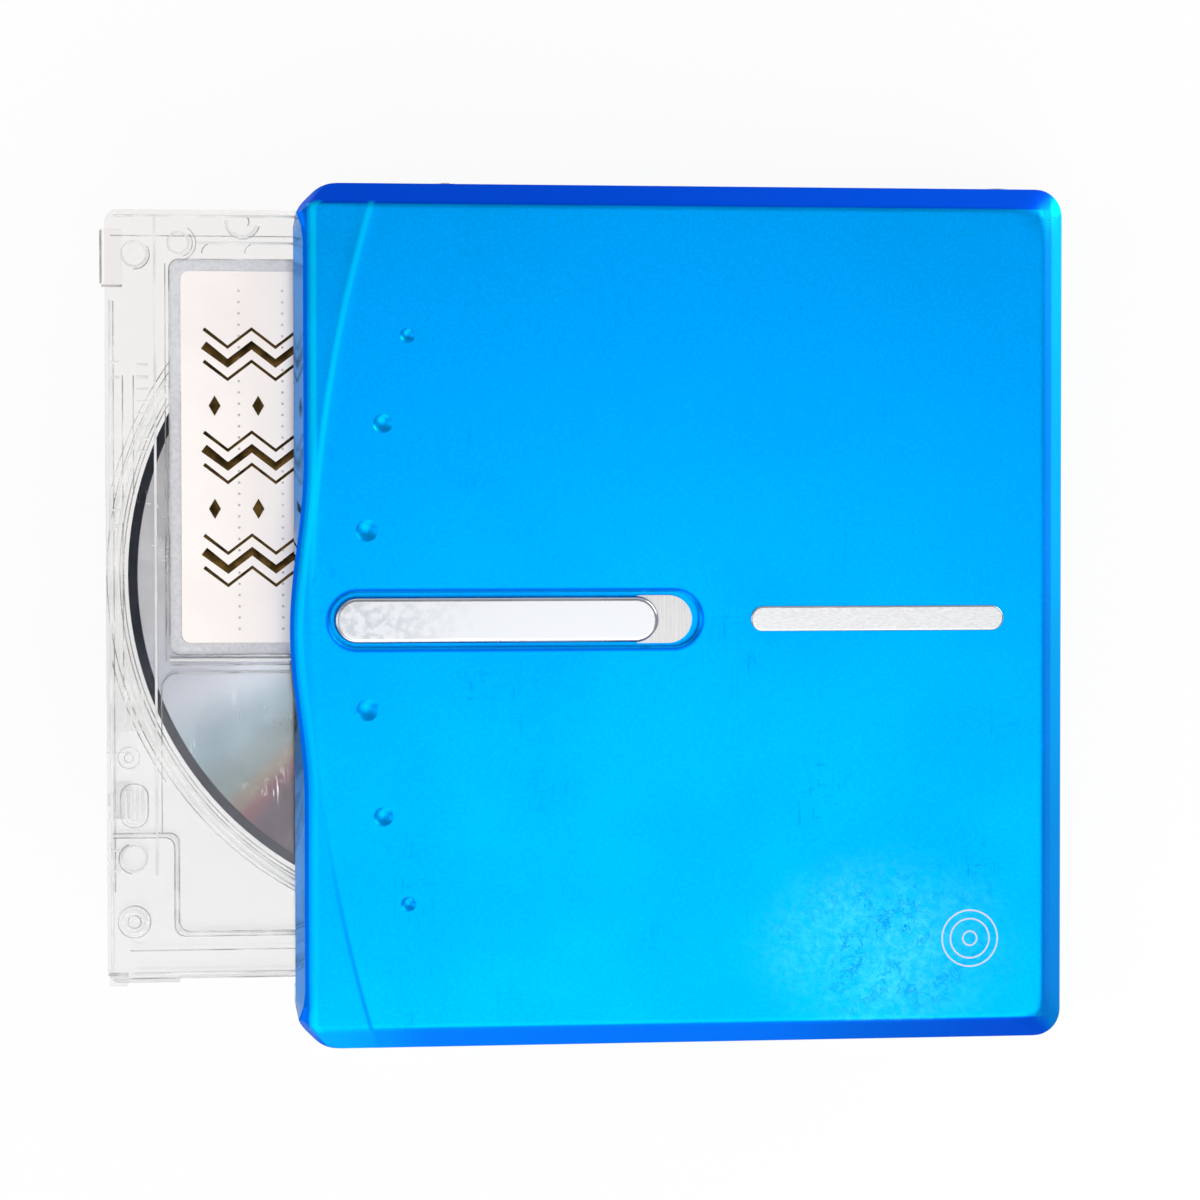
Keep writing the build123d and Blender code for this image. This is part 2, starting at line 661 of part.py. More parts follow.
def front_bezel():
    """The sill under the cartridge slot and the two front corners."""
    piece = case_ring(FRONT, FRONT + END_PIECE_LENGTH, -SIDE, SIDE)
    for x, y in case_screw_places()[:2]:
        piece = piece + screw_boss(x, y)
    return piece


def hinge_bar():
    """The wall along the hinge, with the two ears that hold the hinge pins."""
    piece = case_ring(BACK - END_PIECE_LENGTH, BACK, -SIDE, SIDE)
    inner = INNER_SIDE - EAR_THICKNESS
    ear = bar_y(HINGE_ARM_RADIUS, HINGE_X, HINGE_Z, inner, INNER_SIDE)
    strut_x0 = HINGE_X - HINGE_ARM_RADIUS
    strut_x1 = HINGE_X + HINGE_ARM_RADIUS
    strut = block(strut_x0, strut_x1, inner, INNER_SIDE, BAY_TOP, HINGE_Z)
    bore = bar_y(HINGE_PIN_RADIUS, HINGE_X, HINGE_Z, inner - CUT, INNER_SIDE)
    x, y = case_screw_places()[-1]
    piece = piece + both_sides(ear + strut) - both_sides(bore) + screw_boss(x, y)
    piece = piece - bay_mouth(BELT_Z - CUT, BAY_TOP) - door_recess()
    piece = piece - post(DOOR_PIN_RADIUS, DOOR_X, DOOR_Y, BELT_Z, BAY_TOP + DOOR_PIN_DEPTH)
    hole = TERMINAL_RADIUS + TERMINAL_PLAY
    for place in TERMINALS:
        piece = piece - bar_x(hole, place, CONTROL_Z, BACK - WALL - CUT, BACK + CUT)
    return piece


def jack_side_wall():
    piece = case_ring(FRONT + END_PIECE_LENGTH, BACK - END_PIECE_LENGTH, 0, SIDE)
    x, y = case_screw_places()[2]
    hole = bar_y(JACK_COLLAR_RADIUS + JACK_PLAY, JACK_X, JACK_Z, INNER_SIDE - CUT, SIDE + CUT)
    return piece + screw_boss(x, y) - hole


def button_side_wall():
    piece = case_ring(FRONT + END_PIECE_LENGTH, BACK - END_PIECE_LENGTH, -SIDE, 0)
    piece = piece - bay_mouth(BELT_Z - CUT, BAY_TOP) - door_recess()
    for x in BUTTON_PLACES:
        piece = piece - control_hole(x, BUTTON_LENGTH)
    return piece - control_hole(HOLD_X, HOLD_LENGTH + HOLD_TRAVEL)


def control_hole(x, length):
    """An opening for a button or a switch in the side wall."""
    half = BUTTON_HEIGHT / 2 + BUTTON_GAP
    x0 = x - BUTTON_GAP
    x1 = x + length + BUTTON_GAP
    return block(x0, x1, -SIDE - CUT, CUT - INNER_SIDE, CONTROL_Z - half, CONTROL_Z + half)


def battery_bay():
    """The two walls inside the case that part the battery from the drive."""
    rib = block(BAY_X - BAY_WALL, BAY_X, -INNER_SIDE, BAY_END + BAY_WALL, FLOOR, BAY_TOP)
    return rib + block(BAY_X, BACK - WALL, BAY_END, BAY_END + BAY_WALL, FLOOR, BAY_TOP)


def case_screws():
    screws = []
    tip = CASE_SCREW_TOP - SCREW_HOLE_END - SCREW_TIP_GAP
    for x, y in case_screw_places():
        head = post(SCREW_HEAD_RADIUS, x, y, SCREW_HEAD_SINK, SCREW_HEAD_DEPTH)
        shank = post(SCREW_SHANK_RADIUS, x, y, SCREW_HEAD_DEPTH, tip)
        screws.append(head + shank - upright_cross(CROSS_HALF, x, y, 0, CASE_CROSS_DEPTH))
    return Compound(screws)


def hinge_pins():
    pins = []
    for side in (-1, 1):
        start = HOLDER_INSIDE + side * CARTRIDGE_ASIDE + HINGE_END_PLAY
        shank = side_bar(HINGE_PIN_RADIUS, HINGE_X, HINGE_Z, side, start, INNER_SIDE - HINGE_END_PLAY)
        inner_edge = shank.edges().sort_by(Axis.Y)[0 if side > 0 else -1]
        pins.append(chamfer(inner_edge, HINGE_PIN_CHAMFER))
    return Compound(pins)


def lid_spring():
    """A close-wound spring on the longer hinge pin: one leg on the holder's arm, one on the case wall."""
    wire = LID_SPRING_WIRE / 2
    leg = LID_SPRING_PITCH / 2
    coil_radius = HINGE_PIN_RADIUS + wire + LID_SPRING_PLAY
    start = HOLDER_OUTSIDE - CARTRIDGE_ASIDE + wire + LID_SPRING_PLAY
    last = start + (LID_SPRING_TURNS - 1) * LID_SPRING_PITCH
    z = HINGE_Z - coil_radius
    spring = bar_x(leg, start, z, HINGE_X - LID_SPRING_HOLDER_LEG, HINGE_X + leg)
    tip = HALF_WIDTH - CARTRIDGE_ASIDE - LID_SPRING_LAP
    spring = spring + bar_y(leg, HINGE_X - LID_SPRING_HOLDER_LEG, z, tip, start)
    spring = spring + bar_x(leg, last, z, HINGE_X - LID_SPRING_CASE_LEG, HINGE_X + leg)
    for turn in range(LID_SPRING_TURNS):
        y = start + turn * LID_SPRING_PITCH
        spring = spring + Pos(HINGE_X, y, HINGE_Z) * Rot(90, 0, 0) * Torus(coil_radius, wire)
    return spring.mirror(Plane.XZ)


def latch_catches():
    """Spring leaves on the case walls that snap over the latch hooks."""
    x = FRONT + LATCH_START - LATCH_TOE / 3
    z = LATCH_HOOK_Z + LATCH_HOOK_HEIGHT + CATCH_NIB_GAP
    reach = INNER_SIDE - LATCH_WALL_GAP - CATCH_NIB_LAP
    leaf_x0 = x - CATCH_LEAF_AHEAD
    leaf_x1 = x + CATCH_LEAF_BEHIND
    leaf_z0 = LATCH_HOOK_Z - CATCH_LEAF_DROP
    leaf_z1 = RIM_Z - CATCH_RIM_GAP
    leaf = block(leaf_x0, leaf_x1, INNER_SIDE - CATCH_SHEET, INNER_SIDE, leaf_z0, leaf_z1)
    catch = leaf + block(x - CATCH_NIB, x, reach, INNER_SIDE, z, z + CATCH_NIB_HEIGHT)
    return Compound([catch, catch.mirror(Plane.XZ)])


def mechanism_chassis():
    """A sheet on four dampers that carries the drive, with brackets below for the rods."""
    x0 = DISC_X - CHASSIS_FRONT
    x1 = DISC_X + CHASSIS_BACK
    y1 = INNER_SIDE - CHASSIS_SIDE_GAP
    low = CHASSIS_Z - CUT
    high = CHASSIS_TOP + CUT
    plate = block(x0, x1, -y1, y1, CHASSIS_Z, CHASSIS_TOP)
    boss_x, boss_y = case_screw_places()[2]
    plate = plate - block(boss_x - CHASSIS_NOTCH, x1 + CUT, boss_y - CHASSIS_NOTCH, y1 + CUT, low, high)
    plate = plate - post(TURNTABLE_RADIUS + TURNTABLE_ROOM, DISC_X, DISC_Y, low, high)
    half = LENS_TURRET + LENS_ROOM
    far = PICKUP_Y - PICKUP_TRAVEL - half
    plate = plate - block(DISC_X - half, DISC_X + half, far, PICKUP_Y + half, low, high)
    for x, y in guide_post_places():
        plate = plate + post(GUIDE_POST_RADIUS, x, y, CHASSIS_TOP, SEAT_Z)
    for x, y in damper_places():
        plate = plate - post(DAMPER_SCREW_RADIUS + DAMPER_SCREW_PLAY, x, y, low, high)
    for x, radius in rod_lines():
        for y in (RODS_START, RODS_END):
            plate = plate + bracket(x, y, BRACKET_WIDTH / 2, radius + BRACKET_WALL)
            plate = plate - bar_y(radius, x, DRIVE_Z, y - CUT, y + BRACKET_THICKNESS + CUT)
    plate = plate + bracket(SCREW_X, RODS_START, BEARING_HALF, BEARING_HALF)
    journal = SCREW_JOURNAL_RADIUS + SPINDLE_PLAY
    return plate - bar_y(journal, SCREW_X, DRIVE_Z, RODS_START - CUT, RODS_START + BRACKET_THICKNESS + CUT)


def bracket(x, y, half_width, drop):
    """An ear that hangs from the chassis down past the rods' line."""
    return block(x - half_width, x + half_width, y, y + BRACKET_THICKNESS, DRIVE_Z - drop, CHASSIS_Z)


def guide_post_places():
    """Small posts that the cartridge's underside settles on."""
    x_back = DISC_X + CHASSIS_BACK - GUIDE_POST_INSET
    x_front = DISC_X - CHASSIS_FRONT + GUIDE_POST_INSET
    return [
        (x_back, HALF_WIDTH - GUIDE_POST_NEAR),
        (x_back, GUIDE_POST_FAR - HALF_WIDTH),
        (x_front, HALF_WIDTH - GUIDE_POST_FRONT),
    ]


def rod_lines():
    """The two guide rods: how far along X, and how thick."""
    return [(DISC_X - ROD_OFFSET, MAIN_ROD_RADIUS), (DISC_X + ROD_OFFSET, SUB_ROD_RADIUS)]


def guide_rods():
    end = RODS_END + BRACKET_THICKNESS
    return Compound([bar_y(radius - ROD_FIT, x, DRIVE_Z, RODS_START, end) for x, radius in rod_lines()])


def lead_screw():
    """A screw with its thread drawn as rings, between a bearing and the sled motor."""
    start = RODS_START + BRACKET_THICKNESS + SCREW_END_PLAY
    end = RODS_END + BRACKET_THICKNESS
    body = bar_y(SCREW_RADIUS, SCREW_X, DRIVE_Z, start, end)
    journal_end = end + SLED_MOTOR_LENGTH / 2
    body = body + bar_y(SCREW_JOURNAL_RADIUS, SCREW_X, DRIVE_Z, RODS_START + SCREW_END_PLAY, journal_end)
    groove = Rot(90, 0, 0) * Torus(SCREW_RADIUS + SCREW_GROOVE_LIFT, SCREW_GROOVE)
    for turn in range(1, int((end - start) / SCREW_PITCH)):
        body = body - Pos(SCREW_X, start + turn * SCREW_PITCH, DRIVE_Z) * groove
    return body


def sled_motor():
    start = RODS_END + BRACKET_THICKNESS + SLED_MOTOR_GAP
    can = bar_y(SLED_MOTOR_RADIUS, SCREW_X, DRIVE_Z, start, start + SLED_MOTOR_LENGTH)
    can = chamfer(can.edges().sort_by(Axis.Y)[-1], SLED_MOTOR_CHAMFER)
    bore_end = start + SLED_MOTOR_LENGTH - CUT
    return can - bar_y(SCREW_JOURNAL_RADIUS + SPINDLE_PLAY, SCREW_X, DRIVE_Z, start - CUT, bore_end)


def chassis_dampers():
    rings = []
    for x, y in damper_places():
        ring = post(DAMPER_RADIUS, x, y, CHASSIS_Z - DAMPER_HEIGHT, CHASSIS_Z)
        rings.append(ring - post(DAMPER_SCREW_RADIUS, x, y, 0, HEIGHT))
    return Compound(rings)


def chassis_screws():
    screws = []
    head_top = CHASSIS_TOP + DAMPER_SCREW_HEAD_HEIGHT
    foot = FLOOR + DAMPER_HOLE_FOOT + SCREW_TIP_GAP
    for x, y in damper_places():
        head = post(DAMPER_SCREW_HEAD, x, y, CHASSIS_TOP, head_top)
        shank = post(DAMPER_SCREW_RADIUS - DAMPER_SCREW_FIT, x, y, foot, CHASSIS_TOP)
        slits = upright_cross(CROSS_HALF, x, y, head_top - DAMPER_SCREW_HEAD_HEIGHT / 2, head_top + CUT)
        screws.append(head + shank - slits)
    return Compound(screws)


def spindle_motor():
    shoulder = MOTOR_TOP - MOTOR_SHOULDER_HEIGHT
    can = post(MOTOR_RADIUS, DISC_X, DISC_Y, FLOOR, shoulder)
    can = can + post(MOTOR_RADIUS - MOTOR_SHOULDER, DISC_X, DISC_Y, shoulder, MOTOR_TOP)
    foot = FLOOR + SPINDLE_FOOT
    return can - post(SPINDLE_RADIUS + SPINDLE_PLAY, DISC_X, DISC_Y, foot, MOTOR_TOP + CUT)


def spindle_shaft():
    foot = FLOOR + SPINDLE_FOOT + SPINDLE_PLAY
    return post(SPINDLE_RADIUS, DISC_X, DISC_Y, foot, SEAT_Z - SPINDLE_TOP_DROP)


def turntable():
    table = post(TURNTABLE_RADIUS, DISC_X, DISC_Y, SEAT_Z - TURNTABLE_THICKNESS, SEAT_Z)
    table = chamfer(table.edges().sort_by(Axis.Z)[-1], TURNTABLE_CHAMFER)
    well_z = SEAT_Z - MAGNET_THICKNESS
    well = post(MAGNET_RADIUS, DISC_X, DISC_Y, well_z, SEAT_Z + CUT)
    well = well - post(MAGNET_BORE, DISC_X, DISC_Y, well_z, SEAT_Z + CUT)
    table = table + post(TURNTABLE_HUB_RADIUS, DISC_X, DISC_Y, MOTOR_TOP + TURNTABLE_MOTOR_GAP, SEAT_Z)
    return table - well - post(SPINDLE_RADIUS, DISC_X, DISC_Y, 0, SEAT_Z - SPINDLE_TOP_DROP)


def turntable_magnet():
    outside = MAGNET_RADIUS - MAGNET_FIT
    ring = post(outside, DISC_X, DISC_Y, SEAT_Z - MAGNET_THICKNESS, SEAT_Z - MAGNET_DROP)
    return ring - post(MAGNET_BORE + MAGNET_FIT, DISC_X, DISC_Y, 0, HEIGHT)


def optical_pickup():
    """The sled: two ears on the main rod, a fork on the other, and a turret for the lens."""
    y0 = PICKUP_Y - PICKUP_LENGTH / 2
    y1 = PICKUP_Y + PICKUP_LENGTH / 2
    x0 = DISC_X - PICKUP_HALF_WIDTH
    x1 = DISC_X + PICKUP_HALF_WIDTH
    sled = block(x0, x1, y0, y1, PICKUP_BOTTOM, PICKUP_TOP)
    sled = chamfer(sled.edges().filter_by(Axis.Z), PICKUP_CHAMFER)
    (main_x, main_radius), (sub_x, sub_radius) = rod_lines()
    low = DRIVE_Z - PICKUP_EAR_HALF
    high = DRIVE_Z + PICKUP_EAR_HALF
    for y in (y0, y1 - PICKUP_EAR_LENGTH):
        sled = sled + block(main_x - PICKUP_EAR_HALF, x0 + CUT, y, y + PICKUP_EAR_LENGTH, low, high)
    sled = sled - bar_y(main_radius + ROD_PLAY, main_x, DRIVE_Z, y0 - CUT, y1 + CUT)
    half = PICKUP_FORK_HALF
    tip = sub_x + half
    fork = block(x1 - CUT, tip, PICKUP_Y - half, PICKUP_Y + half, DRIVE_Z - half, DRIVE_Z + half)
    gap = sub_radius + ROD_PLAY
    slot = block(sub_x - 2 * gap, tip + CUT, y0, y1, DRIVE_Z - gap, DRIVE_Z + gap)
    turret_top = LENS_TOP - LENS_TURRET_DROP
    turret = pad(LENS_TURRET, LENS_TURRET, DISC_X, PICKUP_Y, PICKUP_TOP, turret_top)
    well = post(LENS_RADIUS, DISC_X, PICKUP_Y, PICKUP_TOP - LENS_WELL_DEPTH, HEIGHT)
    return sled + fork - slot + turret - well


def pickup_rack():
    """The follower arm that runs in the lead screw's thread."""
    main_x = DISC_X - ROD_OFFSET
    y0 = PICKUP_Y - RACK_HALF_LENGTH
    y1 = PICKUP_Y + RACK_HALF_LENGTH
    heel = main_x - PICKUP_EAR_HALF
    step = heel - RACK_STEP
    low = DRIVE_Z - RACK_ARM_HALF
    foot_top = DRIVE_Z + RACK_FOOT_TOP
    arm = block(SCREW_X + SCREW_RADIUS + ROD_PLAY, heel, y0, y1, low, DRIVE_Z + RACK_ARM_HALF)
    foot = block(step, DISC_X - PICKUP_HALF_WIDTH, y0, y1, DRIVE_Z + RACK_FOOT_Z, foot_top)
    return arm + foot + block(step, heel, y0, y1, low, foot_top)


def objective_lens():
    barrel_top = LENS_TOP - LENS_BARREL_DROP
    foot = PICKUP_TOP - LENS_WELL_DEPTH
    barrel = post(LENS_RADIUS - LENS_FIT, DISC_X, PICKUP_Y, foot, barrel_top)
    dome = Pos(DISC_X, PICKUP_Y, LENS_TOP - LENS_DOME_RADIUS) * Sphere(LENS_DOME_RADIUS)
    cap_radius = LENS_RADIUS - LENS_DOME_INSET
    return barrel + (dome & post(cap_radius, DISC_X, PICKUP_Y, barrel_top - LENS_FIT, LENS_TOP))


def main_board():
    board = block(BOARD_X, BOARD_X + BOARD_WIDTH, -BOARD_HALF, BOARD_HALF, BOARD_Z, BOARD_TOP)
    for x, y in case_screw_places()[:2]:
        board = board - post(SCREW_BOSS_RADIUS + BOARD_HOLE_GAP, x, y, 0, HEIGHT)
    for x, y in damper_places()[:2]:
        board = board - post(DAMPER_RADIUS + BOARD_HOLE_GAP, x, y, 0, HEIGHT)
    return board


def board_chips():
    """Chips, cans and a connector soldered to the top of the main board."""
    chips = []
    for from_corner, y, width, depth, height in CHIPS:
        x = BOARD_X + from_corner
        chips.append(block(x, x + width, y, y + depth, BOARD_TOP, BOARD_TOP + height))
    return Compound(chips)


def flex_cable():
    """A flat ribbon from the main board down to the spindle motor's foot."""
    top = BOARD_TOP + FLEX_LIFT
    end = DISC_X - FLEX_DROP_INSET
    y0 = DISC_Y + MOTOR_RADIUS + FLEX_MOTOR_GAP
    y1 = y0 + FLEX_WIDTH
    run = block(BOARD_X + FLEX_START, end, y0, y1, top, top + FLEX_SHEET)
    drop = block(end - FLEX_SHEET, end, y0, y1, FLOOR, top)
    tail = block(end, end + FLEX_TAIL, y0, y1, FLOOR, FLOOR + FLEX_SHEET)
    return run + drop + tail


def headphone_jack():
    y1 = INNER_SIDE - JACK_PLAY
    y0 = y1 - JACK_LENGTH
    half = JACK_WIDTH / 2
    body = block(JACK_X - half, JACK_X + half, y0, y1, BOARD_TOP, BOARD_TOP + JACK_HEIGHT)
    collar = bar_y(JACK_COLLAR_RADIUS, JACK_X, JACK_Z, y1, SIDE + JACK_COLLAR_STANDS)
    return body + collar - bar_y(JACK_RADIUS, JACK_X, JACK_Z, y0 + JACK_BACK, SIDE + CUT)


def switch_board():
    back = SWITCH_FRONT - SWITCH_DEPTH
    x0 = BUTTON_PLACES[0] - SWITCH_BOARD_REACH
    x1 = HOLD_X + HOLD_LENGTH + HOLD_TRAVEL + SWITCH_BOARD_REACH
    half = BUTTON_HEIGHT / 2 + SWITCH_BOARD_RISE
    return block(x0, x1, -back, SWITCH_SHEET - back, CONTROL_Z - half, CONTROL_Z + half)


def side_switches():
    half = BUTTON_HEIGHT / 2
    y = SWITCH_DEPTH / 2 - SWITCH_FRONT
    switches = []
    for start in BUTTON_PLACES:
        x = start + BUTTON_LENGTH / 2
        switches.append(pad(SWITCH_HALF_LENGTH, SWITCH_DEPTH / 2, x, y, CONTROL_Z - half, CONTROL_Z + half))
    return Compound(switches)


def inner_flange(x0, x1, rise):
    """The flange behind the case wall that keeps a button or a knob in its hole."""
    half = BUTTON_HEIGHT / 2 + rise
    y = FLANGE_WALL_GAP - INNER_SIDE
    return block(x0, x1, y, y + BUTTON_FLANGE, CONTROL_Z - half, CONTROL_Z + half)


def side_button(start):
    """A pill-shaped button with a flange behind the case wall."""
    face = SlotOverall(BUTTON_LENGTH, BUTTON_HEIGHT)
    root = Pos(start + BUTTON_LENGTH / 2, BUTTON_FLANGE / 2 - INNER_SIDE, CONTROL_Z) * Rot(90, 0, 0)
    cap = extrude(root * face, amount=WALL + BUTTON_STANDS + BUTTON_FLANGE / 2)
    cap = fillet(cap.edges().group_by(Axis.Y)[0], BUTTON_EDGE)
    reach = BUTTON_FLANGE_REACH
    return cap + inner_flange(start - reach, start + BUTTON_LENGTH + reach, reach)


def hold_switch():
    half = BUTTON_HEIGHT / 2
    face = -SIDE - HOLD_STANDS
    inner = BUTTON_GAP - INNER_SIDE
    knob = block(HOLD_X, HOLD_X + HOLD_LENGTH, face, inner, CONTROL_Z - half, CONTROL_Z + half)
    for groove in HOLD_GROOVES:
        x0 = HOLD_X + groove - HOLD_GROOVE_WIDTH / 2
        knob = knob - block(x0, x0 + HOLD_GROOVE_WIDTH, face - CUT, face + HOLD_GROOVE_DEPTH, 0, HEIGHT)
    flange_end = HOLD_X + HOLD_LENGTH + HOLD_TRAVEL + HOLD_FLANGE_BACK
    return knob + inner_flange(HOLD_X - BUTTON_FLANGE_REACH, flange_end, HOLD_FLANGE_RISE)


def disc_sensors():
    """Two small switches that feel the cartridge's corner through the holder."""
    x0 = BOARD_X + BOARD_WIDTH - SENSOR_BOARD_INSET
    body_top = CHASSIS_Z - SENSOR_CHASSIS_GAP
    sensors = []
    for inset in SENSOR_INSETS:
        y0 = inset + CARTRIDGE_ASIDE - HALF_WIDTH
        body = block(x0, x0 + SENSOR_LENGTH, y0, y0 + SENSOR_WIDTH, BOARD_TOP, body_top)
        x = x0 + SENSOR_LENGTH / 2
        sensors.append(body + post(SENSOR_PLUNGER_RADIUS, x, y0 + SENSOR_WIDTH / 2, body_top, SEAT_Z))
    return Compound(sensors)


def battery():
    x1 = BATTERY_X + BATTERY_WIDTH
    y1 = BATTERY_Y + BATTERY_LENGTH
    top = BATTERY_Z + BATTERY_THICKNESS
    cell = block(BATTERY_X, x1, BATTERY_Y, y1 - BATTERY_NUB, BATTERY_Z, top)
    cell = fillet(cell.edges().filter_by(Axis.Y), BATTERY_EDGE)
    nub_x0 = BATTERY_X + BATTERY_NUB_INSET
    nub_x1 = x1 - BATTERY_NUB_INSET
    drop = BATTERY_NUB_DROP
    return cell + block(nub_x0, nub_x1, y1 - BATTERY_NUB, y1, BATTERY_Z + drop, top - drop)


def battery_contacts():
    """A bent leaf at the bay's far end."""
    x = BATTERY_X + BATTERY_WIDTH / 2
    x0 = x - CONTACT_HALF_WIDTH
    x1 = x + CONTACT_HALF_WIDTH
    z0 = BATTERY_Z + CONTACT_DROP
    z1 = BATTERY_Z + BATTERY_THICKNESS - CONTACT_DROP
    start = BAY_END - BATTERY_CONTACT + CONTACT_END_GAP
    back = block(x0, x1, BAY_END - CONTACT_SHEET, BAY_END, z0, z1)
    lip = block(x0, x1, start, BAY_END, z1 - CONTACT_SHEET, z1)
    return back + lip + block(x0, x1, start, start + CONTACT_SHEET, z0 + CONTACT_DROP, z1)


def battery_door():
    x0 = BAY_X - DOOR_REACH + DOOR_GAP
    z0 = FLOOR + DOOR_GAP
    z1 = BAY_TOP - DOOR_GAP
    leaf = block(x0, DOOR_X, -SIDE, -INNER_SIDE - DOOR_GAP, z0, z1)
    knuckle = post(DOOR_KNUCKLE_RADIUS, DOOR_X, DOOR_Y, z0, z1)
    contact_x0 = BATTERY_X + DOOR_CONTACT_INSET
    contact_x1 = BATTERY_X + BATTERY_WIDTH - DOOR_CONTACT_INSET
    contact_z0 = z0 + CONTACT_DROP
    contact_z1 = z1 - CONTACT_DROP
    inner = -INNER_SIDE - DOOR_GAP
    contact = block(contact_x0, contact_x1, inner, DOOR_CONTACT_REACH - INNER_SIDE, contact_z0, contact_z1)
    nail_x = x0 + NAIL_GROOVE_INSET
    nail_z0 = z0 + NAIL_GROOVE_DROP
    nail_z1 = z1 - NAIL_GROOVE_DROP
    nail_y = NAIL_GROOVE_DEPTH - SIDE
    nail = block(nail_x, nail_x + NAIL_GROOVE, -SIDE - CUT, nail_y, nail_z0, nail_z1)
    return leaf + knuckle + contact - nail - post(DOOR_PIN_RADIUS + HINGE_PLAY, DOOR_X, DOOR_Y, 0, HEIGHT)


def battery_door_pin():
    depth = DOOR_PIN_DEPTH - DOOR_PIN_END_GAP
    return post(DOOR_PIN_RADIUS - DOOR_PIN_FIT, DOOR_X, DOOR_Y, FLOOR - depth, BAY_TOP + depth)


def charging_terminals():
    x0 = BACK - WALL - TERMINAL_REACH
    x1 = BACK - TERMINAL_SINK
    return Compound([bar_x(TERMINAL_RADIUS, y, CONTROL_Z, x0, x1) for y in TERMINALS])


# ---------------------------------------------------------------- lid, drawn shut
def facet_hill(drop):
    """A wide round hill: flat inside the arc, sloping down outside it towards the slot edge."""
    middle = FRONT + FACET_ARC_START + FACET_ARC_RADIUS
    depth = 3 * FACET_SLOPE_DROP
    foot = FACET_ARC_RADIUS + 3 * FACET_SLOPE_WIDTH
    top = HEIGHT - drop
    hill = Pos(middle, SLIDER_MIDDLE, top - depth / 2) * Cone(foot, FACET_ARC_RADIUS, depth)
    return hill + post(foot, middle, SLIDER_MIDDLE, top - depth - HEIGHT, top - depth)


def lid_form(inset, drop, z0):
    """The lid's outer shape, pulled in by inset and lowered by drop."""
    shoulder = HEIGHT - EDGE_BEVEL_HEIGHT - drop
    walls = slab(plan(inset), z0, shoulder)
    crown = Pos(0, 0, HEIGHT - drop) * plan(inset + EDGE_BEVEL_WIDTH)
    bevel = loft([Pos(0, 0, shoulder) * plan(inset), crown], ruled=True)
    return (walls + bevel) & facet_hill(drop)


def lid_bulge():
    """The swelling of the slot edge in front of the slider."""
    radius = (BULGE_HALF_LENGTH**2 + BULGE**2) / (2 * BULGE)
    disc = post(radius, FRONT - BULGE + radius, SLIDER_MIDDLE, HOLDER_Z, HEIGHT - FACET_SLOPE_DROP)
    return disc & block(FRONT - CUT, FRONT + WALL / 2, -BIG, BIG, 0, HEIGHT)


def lid_cover():
    shell = lid_form(0, 0, LID_RIM_Z) + lid_bulge() - lid_form(WALL, LID_SKIN, LID_RIM_Z - CUT)
    mouth_end = FRONT + WALL + HOLDER_FRONT_INSET
    shell = shell - block(FRONT - CUT, mouth_end, SLOT_Y0, SLOT_Y1, LID_RIM_Z - CUT, HOLDER_Z)
    shell = shell + trough_pan()
    x0 = FRONT + TROUGH_START
    shell = shell - stadium(TROUGH_LENGTH, TROUGH_WIDTH, x0, SLIDER_MIDDLE, TROUGH_Z, HEIGHT + CUT)
    half = SLIDER_POST_WIDTH / 2 + SLIDER_POST_PLAY
    for x in slider_post_places():
        slot_x1 = x + half + SLIDER_TRAVEL
        slot = block(x - half, slot_x1, SLIDER_MIDDLE - half, SLIDER_MIDDLE + half, LATCH_TOP, HEIGHT)
        shell = shell - slot
    for offset, start, radius in DIMPLE_ROWS:
        ball = (radius**2 + DIMPLE_DEPTH**2) / (2 * DIMPLE_DEPTH)
        for side in (-1, 1):
            y = SLIDER_MIDDLE + side * offset
            shell = shell - Pos(FRONT + start, y, HEIGHT + ball - DIMPLE_DEPTH) * Sphere(ball)
    seat_x = spring_start() + SLIDER_SPRING_LENGTH + SLIDER_SPRING_WIRE
    half = SPRING_SEAT / 2
    shell = shell + pad(half, half, seat_x + half, SPRING_Y, LATCH_TOP - LATCH_SHEET, CEILING_Z)
    for start, side in SIDE_SCREWS:
        x = FRONT + start
        seat = SIDE - SIDE_SCREW_HEAD_DEPTH
        hole = SIDE_SCREW_RADIUS + SIDE_SCREW_PLAY
        head = SIDE_SCREW_HEAD_RADIUS + SIDE_SCREW_PLAY
        shell = shell - side_bar(hole, x, SIDE_SCREW_Z, side, INNER_SIDE - CUT, SIDE + CUT)
        shell = shell - side_bar(head, x, SIDE_SCREW_Z, side, seat, SIDE + CUT)
    return opened(shell)


def trough_pan():
    """The thicker part of the lid round the slider's trough."""
    grow = 2 * TROUGH_WALL
    x0 = FRONT + TROUGH_START - grow / 2
    bottom = TROUGH_Z - TROUGH_FLOOR
    pan = stadium(TROUGH_LENGTH + grow, TROUGH_WIDTH + grow, x0, SLIDER_MIDDLE, bottom, CEILING_Z)
    return pan & lid_form(WALL / 2, 0, LID_RIM_Z)


def slider_post_places():
    """Where the slider's posts stand, along X."""
    return [FRONT + SLIDER_START + start for start in SLIDER_POSTS]


def spring_start():
    """Where the slider's return spring leaves the latch plate."""
    return FRONT + LATCH_START + LATCH_WIDTH + SLIDER_SPRING_END_GAP


def nameplate():
    """A bare plate, its top edge chamfered."""
    x0 = FRONT + PLATE_START
    plate = stadium(PLATE_LENGTH, PLATE_WIDTH, x0, SLIDER_MIDDLE, HEIGHT, HEIGHT + PLATE_THICKNESS)
    return opened(chamfer(plate.edges().group_by(Axis.Z)[-1], PLATE_THICKNESS / 2))


